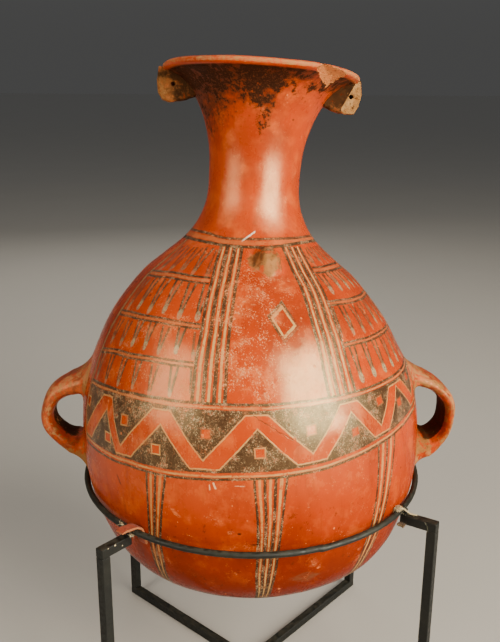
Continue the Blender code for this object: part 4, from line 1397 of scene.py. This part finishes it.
# azimuth, width, line and twist
PADS = {
    "front_left": (231.8, 0.0104, ((0.0128, 0.0016), (0.0092, 0.0040)) + PAD_TUCK, 0.45),
    "front_right": (323.2, 0.0070, FRONT_RIGHT_TUCK, 0.0),
    "back_right": (49.4, 0.0130, ((0.0150, 0.0008),) + PAD_TUCK, 0.0),
    "back_left": (137.8, 0.0130, ((0.0150, 0.0008),) + PAD_TUCK, 0.0),
}
FLAP = (324.3, 0.0050, ((-0.0008, -0.0134), (0.0026, -0.0148), (0.0058, -0.0158)), 0.0)
# azimuth, radius, height over the ring's centre line, spread, fibres and seed of each bit of wool
WOOLS = {
    "wool_tuft": (322.6, 0.1884, 0.0050, 0.0012, 460, 91),
    "wool_scrap": (232.8, 0.1925, -0.0030, 0.0012, 90, 95),
    "wool_wisp": (229.2, 0.1940, 0.0050, 0.0007, 36, 103),
}
# azimuth, radius and height
YARN = (
    (322.6, 0.1884, 0.2858), (324.0, 0.1896, 0.2848), (325.3, 0.1912, 0.2826), (326.4, 0.1932, 0.2788),
    (327.3, 0.1955, 0.2757), (328.2, 0.1990, 0.2741), (328.4, 0.2015, 0.2741),
)


def felt(name, colour, deep, cut):
    """Matted wool felt; cut is the colour of its sheared edges."""
    made = start_material(name)
    place = attribute("straight", "Vector")
    matted = noise(place, 420.0, 4.0, 0.7, distortion=1.5)
    hair = noise(stretched(place, 1.0, 1.0, 2.5), 1500.0, 3.0, 0.7, distortion=0.8)
    cloud = noise(place, 120.0, 3.0, 0.6)
    base = tint(colour, deep, ramp(matted * 0.6 + cloud * 0.4, 0.44, 0.62) * 0.8)
    base = tint(base, cut, largest(attribute("sheared") * 0.85, ramp(hair, 0.58, 0.72) * 0.55))
    return finish_material(made, {
        "Base Color": tint(base, EARTH, ramp(cloud, 0.60, 0.72) * 0.45),
        "Roughness": ramp(hair, 0.3, 0.7, 0.85, 1.0), "Specular IOR Level": 0.20, "Sheen Weight": 0.08,
    }, matted * 0.35 + hair * 0.12)


def fibres(starts, ways, length, thick, seed):
    """Thin curled prisms from starts along ways, as points and faces."""
    rng = np.random.default_rng(seed)
    points, faces = [], []
    last = (FIBRE_STEPS - 1) * FIBRE_SIDES
    prism = grid_faces(FIBRE_STEPS, FIBRE_SIDES)
    prism += [tuple(reversed(range(FIBRE_SIDES))), tuple(range(last, last + FIBRE_SIDES))]
    for start, way in zip(starts, unit(ways)):
        bend = rng.normal(size=3) * 0.55
        reach = length * rng.uniform(0.5, 1.2)
        first = unit(np.cross(way, (0.3, 0.5, 0.8)))
        second = np.cross(way, first)
        faces += renumbered(prism, len(points))
        for k in range(FIBRE_STEPS):
            t = k / (FIBRE_STEPS - 1)
            middle = start + reach * (way * t + bend * t * t)
            wide = thick * (1 - 0.75 * t)
            for i in range(FIBRE_SIDES):
                angle = math.tau * i / FIBRE_SIDES
                points.append(middle + wide * (math.cos(angle) * first + math.sin(angle) * second))
    return np.array(points), faces


def off_jar(points):
    """Points moved clear of the jar's wall."""
    side, side_rate = smooth_value(LEAN_X, points[:, 2] - TIP_HEIGHT)
    x, y = points[:, 0] - side, points[:, 1]
    wall = wall_radius(points[:, 2] - TIP_HEIGHT + side_rate * x) + JAR_CLEAR
    grow = np.maximum(wall / np.hypot(x, y), 1.0)
    return np.stack([x * grow + side, y * grow, points[:, 2]], axis=1)


def build_strip(name, azimuth, width, line, twist, look, seed):
    """A strip of felt along line, slewed by twist as it runs out."""
    radial, tangent = compass(azimuth)
    path = smooth_path(line, STRIP_STEPS)
    over, beside = superellipse(36, 5.0)
    rng = np.random.default_rng(seed)
    rings = []
    for i, (out, up) in enumerate(path):
        ahead = unit(path[min(i + 1, STRIP_STEPS)] - path[max(i - 1, 0)])
        across = -ahead[1] * radial + ahead[0] * UP
        t = i / STRIP_STEPS
        half = width / 2 * (1 + 0.05 * math.sin(t * 9.0 + seed) + 0.03 * math.sin(t * 23.0 + seed))
        thick = PAD_THICK / 2 * (1 + 0.08 * math.sin(t * 13.0 + 2.0 * seed))
        thick *= 0.80 + 0.20 * min(t, 1 - t, 0.05) / 0.05
        middle = (ring_line(azimuth) + out) * radial + (RING_HEIGHT + up) * UP
        slew = tangent * (0.0012 * math.sin(t * 3.0 + seed) - twist * (out - 0.0060))
        rings.append(middle + slew + np.outer(over * thick, across) + np.outer(beside * half, tangent))
    sides = len(over)
    points = np.concatenate(rings)
    outwards = outwards_from_middles(rings)
    points += outwards * (0.00022 * rough(points, 0.0035, seed) - 0.00010)[:, None]
    last = STRIP_STEPS * sides
    faces = grid_faces(len(rings), sides)
    faces += fan(0, sides, len(points)) + fan(last, sides, len(points) + 1, flipped=True)
    sheared = np.tile(ease(np.abs(beside), 0.90, 0.99), len(rings))
    sheared[:sides] = 1.0
    sheared[last:] = 1.0
    picks = rng.choice(np.nonzero(sheared > 0.5)[0], STRIP_HAIRS)
    ways = outwards[picks] + rng.normal(size=(STRIP_HAIRS, 3)) * 0.7
    hairs, hair_faces = fibres(points[picks], ways, STRIP_HAIR, HAIR_THICK, seed)
    ends = np.stack([rings[0].mean(axis=0), rings[-1].mean(axis=0)])
    faces += renumbered(hair_faces, len(points) + 2)
    points = off_jar(np.concatenate((points, ends, hairs)))
    sheared = np.append(sheared, np.ones(2 + len(hairs)))
    return mesh_object(name, (look,), points, faces, leaned=False, sheared=sheared)


def build_wool(name, azimuth, radius, up, spread, count, seed, look):
    """Teased-out wool, up from the ring's centre line."""
    rng = np.random.default_rng(seed)
    centre = compass(azimuth)[0] * radius + UP * (RING_HEIGHT + up)
    ways = rng.normal(size=(count, 3)) + (0.2, -0.3, 0.35)
    ways[:, 2] = np.abs(ways[:, 2])
    starts = centre + rng.normal(size=(count, 3)) * (spread, spread, spread * 0.4)
    points, faces = fibres(starts, ways, WOOL_FIBRE, WOOL_THICK, seed + 1)
    return mesh_object(name, (look,), off_jar(points), faces, leaned=False)


def build_yarn(look):
    """A twisted end of yarn from the tuft down on to the arm."""
    path = smooth_path([compass(azimuth)[0] * radius + UP * height for azimuth, radius, height in YARN], 120)
    ahead = unit(np.gradient(path, axis=0))
    first = unit(np.cross(ahead, UP))
    second = np.cross(ahead, first)
    twist = np.linspace(0.0, YARN_TURNS * math.tau, len(path))
    side = math.tau * np.arange(YARN_SIDES) / YARN_SIDES
    ring = np.cos(side)[None, :, None] * first[:, None] + np.sin(side)[None, :, None] * second[:, None]
    points, faces = np.zeros((0, 3)), []
    for ply in range(2):
        turn = (twist + ply * math.pi)[:, None]
        middle = path + PLY_APART * (np.cos(turn) * first + np.sin(turn) * second)
        faces += renumbered(grid_faces(len(path), YARN_SIDES), len(points))
        points = np.concatenate((points, (middle[:, None] + PLY_ROUND * ring).reshape(-1, 3)))
    rng = np.random.default_rng(97)
    picks = rng.choice(len(points), YARN_HAIRS)
    ways = rng.normal(size=(YARN_HAIRS, 3)) + (0, 0, 0.6)
    hairs, hair_faces = fibres(points[picks], ways, YARN_HAIR, HAIR_THICK, 99)
    faces += renumbered(hair_faces, len(points))
    return mesh_object("yarn_end", (look,), np.concatenate((points, hairs)), faces, leaned=False)


# ---------------------------------------------------------------- pieces

paint = ceramic("slip_painted", True)
plain = ceramic("slip_plain", False, 0.14)
clay = inside_clay("smoked_clay")
red_felt = felt("red_felt", tone(150, 62, 34), tone(104, 38, 22), tone(182, 116, 72))
pale_felt = felt("pale_felt", tone(170, 142, 92), tone(112, 84, 46), tone(206, 182, 138))
dark_felt = felt("dark_felt", tone(74, 54, 38), tone(46, 34, 24), tone(132, 106, 74))
white_wool = felt("white_wool", tone(226, 214, 178), tone(176, 152, 96), tone(238, 228, 200))
black_iron = iron("black_iron", tone(13, 14, 10), tone(27, 27, 20), tone(52, 49, 38))
# the ring's iron is a lighter copy of the bars' iron, its lighter tone a painted highlight
lit_ring_iron = iron("lit_ring_iron", tone(20, 20, 13), tone(38, 38, 26), tone(66, 62, 44))
rubbed_iron = iron("rubbed_iron", tone(74, 74, 58), tone(92, 90, 70), tone(110, 106, 84))


def put(piece):
    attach(piece, "root")


jar = build_jar((paint, clay))
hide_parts("jar")
put(jar)
put(build_handle("handle_right", HANDLE_RIGHT, HANDLE_AZIMUTH, plain, right_wear))
put(build_handle("handle_left", HANDLE_LEFT, HANDLE_AZIMUTH + 180.0, plain, left_wear))
for side in LUG_AZIMUTHS:
    put(build_lug(side, plain))
ring = build_ring(lit_ring_iron)
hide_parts("ring")
put(ring)
for seed, (corner, sizes) in enumerate(PADS.items(), 81):
    pale = corner == "front_right"
    pad = build_strip("felt_" + corner, *sizes, pale_felt if pale else red_felt, seed)
    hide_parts("pad_" + corner)
    put(pad)
put(build_strip("felt_flap", *FLAP, dark_felt, 87))
for name, sizes in WOOLS.items():
    put(build_wool(name, *sizes, white_wool))
put(build_yarn(white_wool))
for kind, marks, look in (("paint_fleck", FLECKS, white_wool), ("scrape", SCRAPES, rubbed_iron)):
    for index, mark in enumerate(marks):
        put(build_fleck("%s_%d" % (kind, index), *mark, look))
for name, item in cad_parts.items():
    if name.startswith(("leg_", "arm_", "base_bar_", "ring_stub_")):
        item.data.materials.clear()
        item.data.materials.append(black_iron)

# ---------------------------------------------------------------- floor, light and camera

FLOOR_HALF = 30.0
JAR_MIDDLE = Vector((0.0, 0.0, 0.36))
WARM, PALE, PALER, NEUTRAL = (1.0, 0.87, 0.68), (1.0, 0.92, 0.78), (1.0, 0.92, 0.80), (1.0, 0.97, 0.82)
CAMERA_PLACE = (-0.0012, -0.8505, 0.7088)
CAMERA_PITCH, CAMERA_YAW, CAMERA_ROLL = 16.8935, -0.0811, 0.3316
CAMERA_LENS, CAMERA_SENSOR = 45.53, 36.0

floor_look = start_material("pale_floor")
paper = noise(Field(node("ShaderNodeTexCoord").outputs["Object"]), 3.0, 3.0)
paper = tint((0.455, 0.450, 0.435), (0.485, 0.478, 0.462), paper)
finish_material(floor_look, {"Base Color": paper, "Roughness": 0.75})
floor_points = FLOOR_HALF * np.array([(-1.0, -1.0, 0.0), (1.0, -1.0, 0.0), (1.0, 1.0, 0.0), (-1.0, 1.0, 0.0)])
mesh_object("floor", (floor_look,), floor_points, [(0, 1, 2, 3)], leaned=False)

world = bpy.data.worlds.new("studio")
bpy.context.scene.world = world
world.use_nodes = True
TREES.append(world.node_tree)
sky = world.node_tree.nodes["Background"]
feed(sky.inputs["Color"], (0.82, 0.82, 0.81))
sky_height = parts(Field(node("ShaderNodeTexCoord").outputs["Generated"]))[2]
feed(sky.inputs["Strength"], ramp(sky_height, 0.02, 0.50, 0.079, 0.150))
TREES.pop()


def soft_box(name, place, size, power, colour, sheen=True, wash=True):
    """A rectangular light aimed at the jar, for its highlight (sheen), its general light (wash) or both."""
    lamp = bpy.data.lights.new(name, "AREA")
    lamp.shape = "RECTANGLE"
    lamp.size, lamp.size_y = size
    lamp.energy = power
    lamp.color = colour
    made = linked(name, lamp)
    made.location = place
    made.rotation_mode = "QUATERNION"
    made.rotation_quaternion = (JAR_MIDDLE - Vector(place)).to_track_quat("-Z", "Y")
    made.visible_glossy = sheen
    made.visible_diffuse = wash


soft_box("key", (1.50, -1.46, 1.42), (1.50, 1.70), 122.0, WARM, sheen=False)
soft_box("key_sheen", (1.51, -1.45, 1.16), (1.50, 1.55), 225.0, NEUTRAL, wash=False)
soft_box("fill", (-1.52, -1.44, 1.40), (1.05, 1.25), 27.0, WARM, sheen=False)
soft_box("fill_sheen", (-1.66, -1.27, 1.16), (1.30, 1.15), 38.0, PALE, wash=False)
soft_box("top", (0.1, 0.4, 2.4), (1.6, 1.6), 9.0, PALER, sheen=False)
soft_box("back", (-0.6, 2.3, 1.5), (1.6, 1.2), 12.0, PALER, sheen=False)


def aimed_camera():
    """The camera, turned from level and due north by yaw to the right, pitch down and roll."""
    pitch, yaw, roll = (math.radians(v) for v in (CAMERA_PITCH, CAMERA_YAW, CAMERA_ROLL))
    forward = Vector((math.sin(yaw) * math.cos(pitch), math.cos(yaw) * math.cos(pitch), -math.sin(pitch)))
    right = Vector((math.cos(yaw), -math.sin(yaw), 0.0))
    upward = right.cross(forward)
    rolled_right = math.cos(roll) * right + math.sin(roll) * upward
    rolled_up = -math.sin(roll) * right + math.cos(roll) * upward
    lens = bpy.data.cameras.new("camera")
    lens.lens = CAMERA_LENS
    lens.sensor_width = CAMERA_SENSOR
    made = linked("camera", lens)
    turn = Matrix((rolled_right, rolled_up, -forward)).transposed().to_4x4()
    made.matrix_world = Matrix.Translation(CAMERA_PLACE) @ turn
    return made


bpy.context.scene.camera = aimed_camera()
